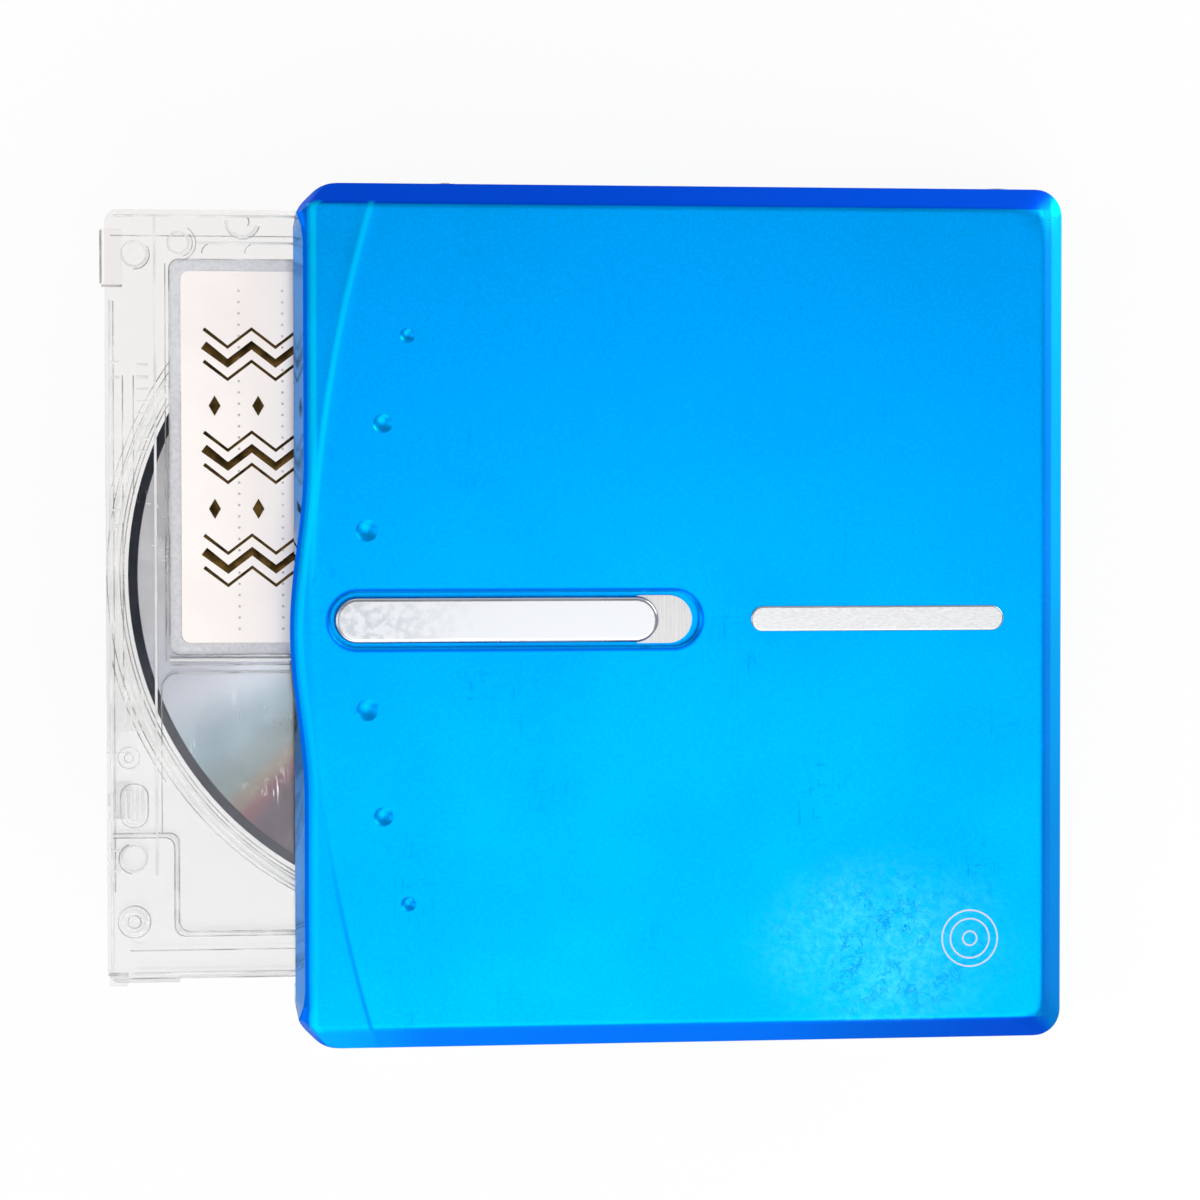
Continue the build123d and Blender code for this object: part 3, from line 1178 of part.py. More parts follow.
def open_slider():
    x0 = FRONT + SLIDER_START
    z0 = TROUGH_Z + SLIDER_LIFT
    bar = stadium(SLIDER_LENGTH, SLIDER_WIDTH, x0, SLIDER_MIDDLE, z0, z0 + SLIDER_THICKNESS)
    bar = chamfer(bar.edges().group_by(Axis.Z)[-1], SLIDER_BEVEL)
    notch_x0 = x0 + SLIDER_LENGTH - END_CAP_LENGTH - END_CAP_GAP - CUT
    notch_z1 = z0 + END_CAP_THICKNESS
    bar = bar - block(notch_x0, BACK, -SIDE, SIDE, z0 - CUT, notch_z1)
    half = SLIDER_POST_WIDTH / 2
    for x in slider_post_places():
        bar = bar + pad(half, half, x, SLIDER_MIDDLE, LATCH_TOP, z0 + SLIDER_BEVEL)
        bar = bar - post(SLIDER_SCREW_RADIUS, x, SLIDER_MIDDLE, LATCH_TOP - CUT, z0 + SLIDER_BEVEL)
    return opened(bar)


def slider_end_cap():
    """A thin fixed plate at the trough's inner end, which the slider's end passes over."""
    x1 = FRONT + TROUGH_START + TROUGH_LENGTH - END_CAP_GAP
    length = 2 * END_CAP_LENGTH
    top = TROUGH_Z + END_CAP_THICKNESS
    cap = stadium(length, END_CAP_WIDTH, x1 - length, SLIDER_MIDDLE, TROUGH_Z, top)
    return opened(cap & block(x1 - END_CAP_LENGTH, x1, -SIDE, SIDE, 0, HEIGHT))


def latch_plate():
    """A flat plate under the slider with a hook at each side of the lid."""
    x0 = FRONT + LATCH_START
    x1 = x0 + LATCH_WIDTH
    half = LATCH_SPINE_HALF_WIDTH
    spine_end = slider_post_places()[-1] + half
    spine = block(x0, spine_end, SLIDER_MIDDLE - half, SLIDER_MIDDLE + half, LATCH_BOTTOM, LATCH_TOP)
    outer = INNER_SIDE - LATCH_WALL_GAP
    inner = outer - LATCH_SHEET
    cross = block(x0, x1, -outer, outer, LATCH_BOTTOM, LATCH_TOP)
    leg = block(x0, x1, inner, outer, LATCH_HOOK_Z, LATCH_TOP)
    toe_top = LATCH_HOOK_Z + LATCH_HOOK_HEIGHT
    toe = block(x0 - LATCH_TOE, x1, inner, outer, LATCH_HOOK_Z, toe_top)
    plate = spine + cross + both_sides(leg + toe)
    hole = SLIDER_SCREW_RADIUS + SIDE_SCREW_PLAY
    for x in slider_post_places():
        plate = plate - post(hole, x, SLIDER_MIDDLE, LATCH_BOTTOM - CUT, LATCH_TOP + CUT)
    return opened(plate)


def slider_screws():
    screws = []
    shank_radius = SLIDER_SCREW_RADIUS - SLIDER_SCREW_GAP
    for x in slider_post_places():
        head = post(SLIDER_SCREW_HEAD, x, SLIDER_MIDDLE, HOLDER_TOP + SLIDER_SCREW_GAP, LATCH_BOTTOM)
        screws.append(head + post(shank_radius, x, SLIDER_MIDDLE, LATCH_BOTTOM, TROUGH_Z + SLIDER_BEVEL))
    return opened(Compound(screws))


def slider_spring():
    """A fine coil of square wire beside the latch plate's spine that pushes the slider back."""
    coil = Helix(SLIDER_SPRING_PITCH, SLIDER_SPRING_LENGTH, SLIDER_SPRING_RADIUS)
    section = Plane(coil @ 0, z_dir=coil % 0) * Rectangle(SLIDER_SPRING_WIRE, SLIDER_SPRING_WIRE)
    wire = sweep(section, path=coil, is_frenet=True)
    return opened(Pos(spring_start(), SPRING_Y, LATCH_TOP + SLIDER_SPRING_WIRE / 2) * Rot(0, 90, 0) * wire)


def disc_holder():
    """A folded steel channel: a pierced top plate, side walls and inward flanges below."""
    x0 = FRONT + HOLDER_FRONT_INSET
    stop_x0 = SEATED_END + HOLDER_STOP_GAP
    stop_x1 = stop_x0 + HOLDER_SHEET
    top = block(x0, stop_x1, -HOLDER_OUTSIDE, HOLDER_OUTSIDE, HOLDER_Z, HOLDER_TOP)
    for x, y, length, width in holder_cutouts():
        top = top - block(x, x + length, y, y + width, HOLDER_Z - CUT, HOLDER_TOP + CUT)
    wall = block(x0, HINGE_X, HOLDER_INSIDE, HOLDER_OUTSIDE, FLANGE_Z, HOLDER_TOP)
    arm = bar_y(HINGE_ARM_RADIUS, HINGE_X, HINGE_Z, HOLDER_INSIDE, HOLDER_OUTSIDE)
    flange_x1 = stop_x0 - HOLDER_FLANGE_BACK_GAP
    flange = block(x0, flange_x1, HOLDER_INSIDE - HOLDER_FLANGE, HOLDER_OUTSIDE, FLANGE_Z, FLANGE_TOP)
    stop_y = HALF_WIDTH / 2
    stop_z = CARTRIDGE_Z + HOLDER_STOP_RISE
    stop = block(stop_x0, stop_x1, stop_y, stop_y + HOLDER_STOP_WIDTH, stop_z, HOLDER_TOP)
    bore = bar_y(HINGE_PIN_RADIUS + HINGE_PLAY, HINGE_X, HINGE_Z, HOLDER_INSIDE - CUT, HOLDER_OUTSIDE + CUT)
    holder = beside(top + both_sides(wall + arm + flange + stop) - both_sides(bore))
    for start, side in SIDE_SCREWS:
        x = FRONT + start
        holder = holder + screw_tab(x, side)
        holder = holder - side_bar(SIDE_SCREW_RADIUS, x, SIDE_SCREW_Z, side, INNER_SIDE - CUT, SIDE)
    return opened(holder)


def screw_tab(x, side):
    """A bent tab of the holder that a side screw pulls against the lid's wall."""
    x0 = x - SIDE_TAB_WIDTH / 2
    x1 = x + SIDE_TAB_WIDTH / 2
    bridge = side_block(x0, x1, side, HOLDER_INSIDE - CARTRIDGE_ASIDE, INNER_SIDE, HOLDER_Z, HOLDER_TOP)
    drop_z = HOLDER_TOP - SIDE_TAB_DROP
    tab = side_block(x0, x1, side, INNER_SIDE - HOLDER_SHEET, INNER_SIDE, drop_z, HOLDER_TOP)
    return (bridge + tab) & lid_form(WALL, LID_SKIN, LID_RIM_Z)


def holder_cutouts():
    """Openings in the holder's top plate, from the cartridge's middle line: x, y, length and width."""
    leaf = LEAF_WIDTH + 2 * LEAF_SLOT_GAP
    leaf_x = DISC_X + LEAF_FROM_DISC
    view_x = DISC_X - DISC_VIEW_WIDTH / 2
    return [
        (DISC_X - HUB_VIEW / 2, DISC_OFFSET - HUB_VIEW / 2, HUB_VIEW, HUB_VIEW),
        (leaf_x, LEAF_FROM_MIDDLE, LEAF_LENGTH, leaf),
        (leaf_x, -LEAF_FROM_MIDDLE - leaf, LEAF_LENGTH, leaf),
        (view_x, NEAR_VIEW[0], DISC_VIEW_WIDTH, NEAR_VIEW[1]),
        (view_x, FAR_VIEW[0], DISC_VIEW_WIDTH, FAR_VIEW[1]),
    ]


def holder_springs():
    """Two leaves that press lightly on the cartridge through the holder's top plate."""
    low = CARTRIDGE_TOP + LEAF_GAP
    leaves = []
    for x, y, length, width in holder_cutouts()[1:3]:
        y0 = y + LEAF_SLOT_GAP
        root_x = x + length
        root = block(root_x, root_x + LEAF_ROOT, y0, y0 + LEAF_WIDTH, HOLDER_TOP, HOLDER_TOP + LEAF_SHEET)
        bend_x = root_x - LEAF_ROOT / 2
        side_view = Polyline(
            (root_x, HOLDER_TOP),
            (bend_x, HOLDER_TOP),
            (x + LEAF_WIDTH / 2, low),
            (x + LEAF_SLOT_GAP, low + LEAF_SHEET / 2),
            (x + LEAF_SLOT_GAP, low + 3 * LEAF_SHEET / 2),
            (x + LEAF_WIDTH / 2, low + LEAF_SHEET),
            (bend_x, HOLDER_TOP + LEAF_SHEET),
            (root_x, HOLDER_TOP + LEAF_SHEET),
            close=True,
        )
        outline = Plane.XZ * make_face(side_view)
        leaves.append(root + extrude(Pos(0, y0, 0) * outline, amount=-LEAF_WIDTH))
    return opened(beside(Compound(leaves)))


def lid_side_screws():
    screws = []
    seat = SIDE - SIDE_SCREW_HEAD_DEPTH
    tip = INNER_SIDE - HOLDER_SHEET - SIDE_SCREW_TIP
    for start, side in SIDE_SCREWS:
        x = FRONT + start
        z = SIDE_SCREW_Z
        head = side_bar(SIDE_SCREW_HEAD_RADIUS, x, z, side, seat, SIDE + SIDE_SCREW_STANDS)
        shank = side_bar(SIDE_SCREW_RADIUS - SLIDER_SCREW_GAP, x, z, side, tip, seat)
        slits = side_slit(x, z, side, CROSS_HALF, SLIT_HALF) + side_slit(x, z, side, SLIT_HALF, CROSS_HALF)
        screws.append(head + shank - slits)
    return opened(Compound(screws))


def side_slit(x, z, side, half_x, half_z):
    """One slit in the head of a side screw."""
    bottom = SIDE - SIDE_SCREW_STANDS
    return side_block(x - half_x, x + half_x, side, bottom, SIDE + CUT, z - half_z, z + half_z)


# -------------------------------- cartridge, drawn seated and shut about its own middle line
def cartridge_half(z0, z1):
    """One half of the cartridge's outside, less what both halves leave open."""
    outline = Pos(DISC_X, 0, 0) * RectangleRounded(CARTRIDGE_LENGTH, CARTRIDGE_WIDTH, CARTRIDGE_CORNER)
    half = slab(outline, z0, z1) - shell_windows()
    return half - shutter_track(SHUTTER_RECESS - HALF_WIDTH, 0, HEIGHT) - write_tab_slot()


def shutter_track(y1, z0, z1):
    """The shallow track that the shutter slides in, and the step round the cartridge's edge."""
    x0 = DISC_X - SHUTTER_WIDTH / 2 - SHUTTER_TRAVEL - SHUTTER_GAP
    x1 = DISC_X + SHUTTER_WIDTH / 2 + SHUTTER_GAP
    return block(x0, x1, -HALF_WIDTH - CUT, y1, z0, z1)


def shell_windows():
    """The openings that the shutter covers, towards the disc's edge."""
    half = WINDOW_WIDTH / 2
    return block(DISC_X - half, DISC_X + half, DISC_OFFSET - DISC_RADIUS + WINDOW_RIM, WINDOW_NEAR, 0, HEIGHT)


def write_tab_slot():
    """The room for the write-protect tab in the cartridge's outer end."""
    y0 = TAB_INSET - HALF_WIDTH - TAB_LENGTH / 2 - TAB_GAP
    y1 = y0 + TAB_LENGTH + TAB_TRAVEL + 2 * TAB_GAP
    half = TAB_HEIGHT / 2 + TAB_GAP
    x1 = SEATED + TAB_DEPTH + TAB_GAP
    return block(SEATED - CUT, x1, y0, y1, CARTRIDGE_MIDDLE - half, CARTRIDGE_MIDDLE + half)


def cartridge_lower_shell():
    shell = cartridge_half(CARTRIDGE_Z, CARTRIDGE_MIDDLE)
    shell = shell - post(DISC_RADIUS + DISC_ROOM, DISC_X, DISC_OFFSET, CARTRIDGE_Z + CARTRIDGE_SKIN, HEIGHT)
    shell = shell - post(HUB_HOLE_RADIUS, DISC_X, DISC_OFFSET, 0, HEIGHT)
    shell = shell - shutter_track(SHUTTER_END + SHUTTER_GAP, 0, CARTRIDGE_Z + SHUTTER_RECESS)
    for start, side in PIN_HOLES_FROM_OUTER_END:
        y = side * (HALF_WIDTH - PIN_HOLE_INSET)
        depth_z = CARTRIDGE_Z + PIN_HOLE_DEPTH
        shell = shell - post(PIN_HOLE_RADIUS, SEATED + start, y, CARTRIDGE_Z - CUT, depth_z)
    return pulled(shell)


def cartridge_upper_shell():
    shell = cartridge_half(CARTRIDGE_MIDDLE, CARTRIDGE_TOP)
    shell = shell - post(DISC_RADIUS + DISC_ROOM, DISC_X, DISC_OFFSET, 0, CARTRIDGE_TOP - CARTRIDGE_SKIN)
    shell = shell - shutter_track(SHUTTER_END + SHUTTER_GAP, CARTRIDGE_TOP - SHUTTER_RECESS, HEIGHT)
    recess = CARTRIDGE_TOP - LABEL_RECESS
    return pulled(shell - label_slab(LABEL_MARGIN, recess, CARTRIDGE_TOP + CUT))


def label_slab(margin, z0, z1):
    """The label's outline with a margin round it, pulled up between two heights."""
    x = SEATED + LABEL_START + LABEL_LENGTH / 2
    y = HALF_WIDTH - LABEL_SIDE - LABEL_WIDTH / 2
    outline = RectangleRounded(LABEL_LENGTH + 2 * margin, LABEL_WIDTH + 2 * margin, LABEL_CORNER)
    return slab(Pos(x, y, 0) * outline, z0, z1)


def cartridge_label():
    z0 = CARTRIDGE_TOP - LABEL_RECESS
    return pulled(label_slab(0, z0, z0 + LABEL_THICKNESS))


def shutter():
    """A thin folded sheet that wraps the cartridge's edge and covers both windows."""
    x0 = DISC_X - SHUTTER_WIDTH / 2
    x1 = DISC_X + SHUTTER_WIDTH / 2
    seat = SHUTTER_RECESS - SHUTTER_PLAY
    inner = seat - HALF_WIDTH
    outer = inner - SHUTTER_SHEET
    low = CARTRIDGE_Z + seat
    high = CARTRIDGE_TOP - seat
    web = block(x0, x1, outer, inner, low - SHUTTER_SHEET, high + SHUTTER_SHEET)
    under = block(x0, x1, outer, SHUTTER_END, low - SHUTTER_SHEET, low)
    over = block(x0, x1, outer, SHUTTER_END, high, high + SHUTTER_SHEET)
    return pulled(web + under + over)


def write_protect_tab():
    """A small block in the cartridge's outer end, with a grip to slide it by."""
    y0 = TAB_INSET - HALF_WIDTH - TAB_LENGTH / 2
    y1 = y0 + TAB_LENGTH
    z0 = CARTRIDGE_MIDDLE - TAB_HEIGHT / 2
    z1 = z0 + TAB_HEIGHT
    face = SEATED + TAB_FACE_DROP
    tab = block(face, SEATED + TAB_DEPTH, y0, y1, z0, z1)
    grip_y = (y0 + y1 - TAB_GRIP_WIDTH) / 2
    return pulled(tab + block(SEATED + TAB_GRIP_DROP, face, grip_y, grip_y + TAB_GRIP_WIDTH, z0, z1))


def disc():
    plate = post(DISC_RADIUS, DISC_X, DISC_OFFSET, DISC_Z, DISC_Z + DISC_THICKNESS)
    return pulled(plate - post(DISC_HOLE_RADIUS, DISC_X, DISC_OFFSET, 0, HEIGHT))


def disc_hub():
    """A steel clamping plate under the disc, with a nose that stands in the hub hole."""
    plate_z = DISC_Z - HUB_PLATE_THICKNESS
    plug_top = DISC_Z + DISC_THICKNESS - HUB_PLUG_DROP
    hub = post(HUB_PLATE_RADIUS, DISC_X, DISC_OFFSET, plate_z, DISC_Z)
    hub = hub + post(HUB_NOSE_RADIUS, DISC_X, DISC_OFFSET, CARTRIDGE_Z + HUB_NOSE_GAP, plate_z)
    hub = hub + post(DISC_HOLE_RADIUS - SHUTTER_PLAY, DISC_X, DISC_OFFSET, DISC_Z, plug_top)
    return pulled(hub - post(SPINDLE_RADIUS, DISC_X, DISC_OFFSET, 0, CARTRIDGE_Z + HUB_WELL_DEPTH))


# ---------------------------------------------------------------- all the pieces
NODES = [
    bottom_cover,
    front_bezel,
    hinge_bar,
    jack_side_wall,
    button_side_wall,
    battery_bay,
    case_screws,
    hinge_pins,
    lid_spring,
    latch_catches,
    mechanism_chassis,
    chassis_dampers,
    chassis_screws,
    guide_rods,
    sled_motor,
    lead_screw,
    spindle_motor,
    spindle_shaft,
    turntable,
    turntable_magnet,
    optical_pickup,
    pickup_rack,
    objective_lens,
    main_board,
    board_chips,
    flex_cable,
    headphone_jack,
    switch_board,
    side_switches,
    hold_switch,
    disc_sensors,
    battery,
    battery_contacts,
    battery_door,
    battery_door_pin,
    charging_terminals,
    lid_cover,
    nameplate,
    open_slider,
    slider_end_cap,
    latch_plate,
    slider_screws,
    slider_spring,
    disc_holder,
    holder_springs,
    lid_side_screws,
    cartridge_lower_shell,
    cartridge_upper_shell,
    cartridge_label,
    shutter,
    write_protect_tab,
    disc,
    disc_hub,
]

os.makedirs("parts", exist_ok=True)
for make in NODES:
    export_step(make(), f"parts/{make.__name__}.step")
for name, place in zip(BUTTON_NAMES, BUTTON_PLACES):
    export_step(side_button(place), f"parts/{name}_button.step")
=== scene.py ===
import json
import math

import bmesh
import bpy
from mathutils import Matrix, Vector


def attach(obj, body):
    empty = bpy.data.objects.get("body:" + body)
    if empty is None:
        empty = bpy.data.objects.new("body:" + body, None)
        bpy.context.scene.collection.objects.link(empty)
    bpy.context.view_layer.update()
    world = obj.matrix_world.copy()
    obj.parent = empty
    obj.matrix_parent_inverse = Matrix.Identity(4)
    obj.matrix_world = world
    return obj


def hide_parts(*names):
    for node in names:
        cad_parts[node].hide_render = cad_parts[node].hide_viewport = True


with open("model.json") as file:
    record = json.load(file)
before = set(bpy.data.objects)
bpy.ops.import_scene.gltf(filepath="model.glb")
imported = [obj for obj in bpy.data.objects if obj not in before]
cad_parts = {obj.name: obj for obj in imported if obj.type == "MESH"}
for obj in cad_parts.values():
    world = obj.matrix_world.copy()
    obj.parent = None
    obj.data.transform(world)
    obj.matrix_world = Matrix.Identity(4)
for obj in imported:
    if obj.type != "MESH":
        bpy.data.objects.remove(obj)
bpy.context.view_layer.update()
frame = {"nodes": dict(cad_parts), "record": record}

# A pocket disc player, its lid open on the sprung hinge and a clear cartridge half way in.
#
# The frame's axes: +X from the slot edge to the hinge edge, +Y along the hinge, +Z up.
# Sizes are written in millimetres and brought to metres by MM. The lid, the slider and the
# cartridge are modelled as they lie when the player is shut, and LID_PLACE and CARTRIDGE_PLACE
# then turn them up about the hinge.

MM = 0.001
nodes = frame["nodes"]

# ------------------------------------------------------------ sizes
HINGE = (33.9, 0.0, 9.9)
LID_ANGLE = 10.0
CARTRIDGE_OUT = 19.4
CARTRIDGE_ASIDE = 1.9
FRONT, BACK, SIDE = -36.5, 36.5, 40.4
LID_TOP = 16.2
MIDDLE = -0.3
CORNER_CUT = 2.7
EDGE_WIDTH = 2.0
ARC_RADIUS = 135.0
ARC_START = 1.5
STRIP_WIDTH = 0.85
STRIP_SWELL = 1.3
SWELL_MIDDLE = -1.2
SWELL_HALF = 15.5
TROUGH = (FRONT + 3.3, 34.7, 5.1)
TROUGH_LIP = 0.3
DISC_AT = (-0.5, 2.0)
PARTING_Z = 11.1


def to_metres(x, y, z):
    return Vector((x * MM, y * MM, z * MM))


TO_HINGE = Matrix.Translation(to_metres(*HINGE))
LID_PLACE = TO_HINGE @ Matrix.Rotation(math.radians(LID_ANGLE), 4, "Y") @ TO_HINGE.inverted()
CARTRIDGE_PLACE = LID_PLACE @ Matrix.Translation(to_metres(-CARTRIDGE_OUT, CARTRIDGE_ASIDE, 0))


# ------------------------------------------------------------ shader helpers
def new_group(name, inputs, outputs):
    """A shader node group with float inputs (name, value) and typed outputs (name, type)."""
    group = bpy.data.node_groups.new(name, "ShaderNodeTree")
    vector = group.interface.new_socket("Coordinates", in_out="INPUT", socket_type="NodeSocketVector")
    vector.hide_value = True
    for label, value in inputs:
        socket = group.interface.new_socket(label, in_out="INPUT", socket_type="NodeSocketFloat")
        socket.default_value = value
    for label, kind in outputs:
        group.interface.new_socket(label, in_out="OUTPUT", socket_type=kind)
    return group


def node(tree, kind, **settings):
    made = tree.nodes.new("ShaderNode" + kind)
    for key, value in settings.items():
        setattr(made, key, value)
    return made


def math_node(tree, operation, first, second=None, third=None):
    made = node(tree, "Math", operation=operation)
    for place, value in enumerate((first, second, third)):
        if value is None:
            continue
        if isinstance(value, (int, float)):
            made.inputs[place].default_value = value
        else:
            tree.links.new(value, made.inputs[place])
    return made.outputs[0]


def noise(tree, coordinates, scale, detail=2.0, roughness=0.5, distortion=0.0):
    made = node(tree, "TexNoise")
    tree.links.new(coordinates, made.inputs["Vector"])
    if isinstance(scale, (int, float)):
        made.inputs["Scale"].default_value = scale
    else:
        tree.links.new(scale, made.inputs["Scale"])
    made.inputs["Detail"].default_value = detail
    made.inputs["Roughness"].default_value = roughness
    made.inputs["Distortion"].default_value = distortion
    return made.outputs["Fac"]


def stretched(tree, coordinates, scale):
    """The coordinates with each axis scaled by its own amount."""
    made = node(tree, "Mapping")
    tree.links.new(coordinates, made.inputs["Vector"])
    made.inputs["Scale"].default_value = scale
    return made.outputs["Vector"]


def ramp(tree, value, low, high, out_low=0.0, out_high=1.0):
    made = node(tree, "MapRange", interpolation_type="SMOOTHSTEP")
    tree.links.new(value, made.inputs["Value"])
    for label, number in zip(("From Min", "From Max", "To Min", "To Max"), (low, high, out_low, out_high)):
        made.inputs[label].default_value = number
    return made.outputs["Result"]


def off_from(tree, value, middle):
    """How far a value is from a middle one, either way."""
    return math_node(tree, "ABSOLUTE", math_node(tree, "SUBTRACT", value, middle))


def length_of(tree, across, along):
    squares = [math_node(tree, "MULTIPLY", part, part) for part in (across, along)]
    return math_node(tree, "SQRT", math_node(tree, "ADD", *squares))


def near_to(tree, distance, width, strength=1.0):
    """A mask that is full within the first of two distances in millimetres and gone past the second."""
    return ramp(tree, distance, width[0] * MM, width[1] * MM, strength, 0.0)


def in_parts(tree, vector):
    """A vector's X, Y and Z."""
    made = node(tree, "SeparateXYZ")
    tree.links.new(vector, made.inputs[0])
    return made.outputs["X"], made.outputs["Y"], made.outputs["Z"]


def lid_coordinates(tree, coordinates, middle):
    """Coordinates that lie flat with the lid, measured from a middle in metres."""
    made = node(tree, "Mapping", vector_type="TEXTURE")
    tree.links.new(coordinates, made.inputs["Vector"])
    made.inputs["Location"].default_value = middle
    made.inputs["Rotation"].default_value = (0.0, math.radians(LID_ANGLE), 0.0)
    return made.outputs["Vector"]


def node_ends(group):
    start = group.nodes.new("NodeGroupInput")
    end = group.nodes.new("NodeGroupOutput")
    return start, end


def cycles_per_metre(tree, size_mm):
    return math_node(tree, "DIVIDE", 1.0 / MM, size_mm)


def fine_grain_group():
    """The tooth of a bead-blasted or moulded face, with a slow haze over it."""
    group = new_group(
        "fine_grain",
        [("Grain Size mm", 0.12), ("Haze Size mm", 14.0)],
        [("Height", "NodeSocketFloat"), ("Haze", "NodeSocketFloat")],
    )
    start, end = node_ends(group)
    where = start.outputs["Coordinates"]
    tooth = noise(group, where, cycles_per_metre(group, start.outputs["Grain Size mm"]), 3.0)
    haze = noise(group, where, cycles_per_metre(group, start.outputs["Haze Size mm"]), 4.0)
    group.links.new(tooth, end.inputs["Height"])
    group.links.new(ramp(group, haze, 0.3, 0.72), end.inputs["Haze"])
    return group


def scuff_group():
    """Short fine scratches that lie in patches, and a few specks of dust."""
    group = new_group(
        "scuffs_and_dust",
        [("Scratch Size mm", 1.2), ("Patch Size mm", 9.0), ("Dust Size mm", 1.6)],
        [("Scratches", "NodeSocketFloat"), ("Dust", "NodeSocketFloat")],
    )
    start, end = node_ends(group)
    where = start.outputs["Coordinates"]
    long_way = stretched(group, where, (1.0, 0.07, 1.0))
    cross_way = stretched(group, where, (0.09, 1.0, 1.0))
    fine = cycles_per_metre(group, start.outputs["Scratch Size mm"])
    scale = math_node(group, "MULTIPLY", fine, 6.0)
    first = ramp(group, noise(group, long_way, scale, 1.0), 0.66, 0.7)
    second = ramp(group, noise(group, cross_way, scale, 1.0), 0.68, 0.72)
    patch = noise(group, where, cycles_per_metre(group, start.outputs["Patch Size mm"]), 2.0)
    mask = ramp(group, patch, 0.52, 0.68)
    both = math_node(group, "MAXIMUM", first, second)
    group.links.new(math_node(group, "MULTIPLY", both, mask), end.inputs["Scratches"])
    specks = node(group, "TexVoronoi", feature="F1")
    group.links.new(where, specks.inputs["Vector"])
    group.links.new(cycles_per_metre(group, start.outputs["Dust Size mm"]), specks.inputs["Scale"])
    near = ramp(group, specks.outputs["Distance"], 0.035, 0.06, 1.0, 0.0)
    chance = ramp(group, specks.outputs["Color"], 0.86, 0.88)
    group.links.new(math_node(group, "MULTIPLY", near, chance), end.inputs["Dust"])
    return group


DUST_GREY = (0.55, 0.56, 0.58)
FINE_GRAIN = fine_grain_group()
SCUFFS = scuff_group()


class Finish:
    """A material with one Principled shader, read in Object coordinates."""

    def __init__(self, name, color, metallic=0.0, roughness=0.5, **constants):
        self.material = bpy.data.materials.new(name)
        self.material.use_nodes = True
        self.tree = self.material.node_tree
        self.shader = self.tree.nodes["Principled BSDF"]
        self.where = node(self.tree, "TexCoord").outputs["Object"]
        self.color = color
        self.roughness = roughness
        self.shader.inputs["Base Color"].default_value = (*color, 1.0)
        self.shader.inputs["Metallic"].default_value = metallic
        self.shader.inputs["Roughness"].default_value = roughness
        for label, value in constants.items():
            self.shader.inputs[label.replace("_", " ")].default_value = value

    def link(self, output, label):
        self.tree.links.new(output, self.shader.inputs[label])

    def group(self, group, **values):
        made = node(self.tree, "Group", node_tree=group)
        self.tree.links.new(self.where, made.inputs["Coordinates"])
        for label, value in values.items():
            made.inputs[label.replace("_", " ")].default_value = value
        return made

    def blend(self, factor, first, second):
        """A colour between two, by a mask."""
        mix = node(self.tree, "Mix", data_type="RGBA")
        self.tree.links.new(factor, mix.inputs["Factor"])
        for socket, value in ((mix.inputs[6], first), (mix.inputs[7], second)):
            if isinstance(value, tuple):
                socket.default_value = (*value, 1.0)
            else:
                self.tree.links.new(value, socket)
        return mix.outputs[2]

    def bump(self, height, strength, distance_mm=0.02):
        made = node(self.tree, "Bump")
        made.inputs["Strength"].default_value = strength
        made.inputs["Distance"].default_value = distance_mm * MM
        self.tree.links.new(height, made.inputs["Height"])
        self.link(made.outputs["Normal"], "Normal")

    def wear(
        self, grain=0.12, haze=14.0, spread=0.06, tooth=0.3, dark=0.9, scratch=0.25, dust=0.0, speckle=1.0
    ):
        """Grain in the surface, a slow change of gloss, faint scratches and a little dust."""
        surface = self.group(FINE_GRAIN, Grain_Size_mm=grain, Haze_Size_mm=haze)
        marks = self.group(SCUFFS)
        low, high = self.roughness - spread, self.roughness + spread
        gloss = ramp(self.tree, surface.outputs["Haze"], 0.0, 1.0, low, high)
        scratched = math_node(self.tree, "MULTIPLY", marks.outputs["Scratches"], scratch)
        self.link(math_node(self.tree, "ADD", gloss, scratched), "Roughness")
        shade = tuple(dark * part for part in self.color)
        tint = self.blend(surface.outputs["Haze"], shade, self.color)
        if speckle < 1.0:
            fleck = ramp(self.tree, surface.outputs["Height"], 0.3, 0.7, 1.0 - speckle, 0.0)
            tint = self.blend(fleck, tint, (0.0, 0.0, 0.0))
        if dust:
            amount = math_node(self.tree, "MULTIPLY", marks.outputs["Dust"], dust)
            tint = self.blend(amount, tint, DUST_GREY)
        self.link(tint, "Base Color")
        height = math_node(self.tree, "SUBTRACT", surface.outputs["Height"], scratched)
        self.bump(height, tooth)
        return tint


# ------------------------------------------------------------ finishes
def body_blue():
    """Satin anodised blue of the body."""
    finish = Finish("satin_anodised_blue", (0.0, 0.3, 0.93), 1.0, 0.42)
    finish.wear(grain=0.24, haze=16.0, spread=0.04, tooth=0.34, dark=0.93, scratch=0.2, speckle=0.9)
    return finish.material


# The lid's blues beside its own: painted reflections along its hinge edge and its far (+Y) and near (-Y)
# bevels, painted highlights and painted shade on its bends and rims, and the rubbed corner's colours,
# partly wear and partly a painted sheen.
FOLD_SHADE_BLUE = (0.0, 0.2, 0.93)
HINGE_REFLECTION_BLUES = ((0.0, 0.29, 0.93), (0.0, 0.47, 1.0))
FAR_SHADE_BLUES = ((0.0, 0.068, 0.68), (0.0, 0.09, 0.8))
NEAR_REFLECTION_BLUES = ((0.0, 0.33, 0.97), (0.0, 0.175, 0.93), (0.0, 0.095, 0.8))
# The painted highlight blue and the painted shade blue for the lid's bends, rims and lines.
HIGHLIGHT_BLUE = (0.0, 0.6, 1.0)
SHADE_BLUE = (0.0, 0.11, 0.76)
RUBBED_AND_SHEEN_BLUE = (0.1, 0.62, 1.0)
CRAZED_BLUE = (0.0, 0.2, 0.8)
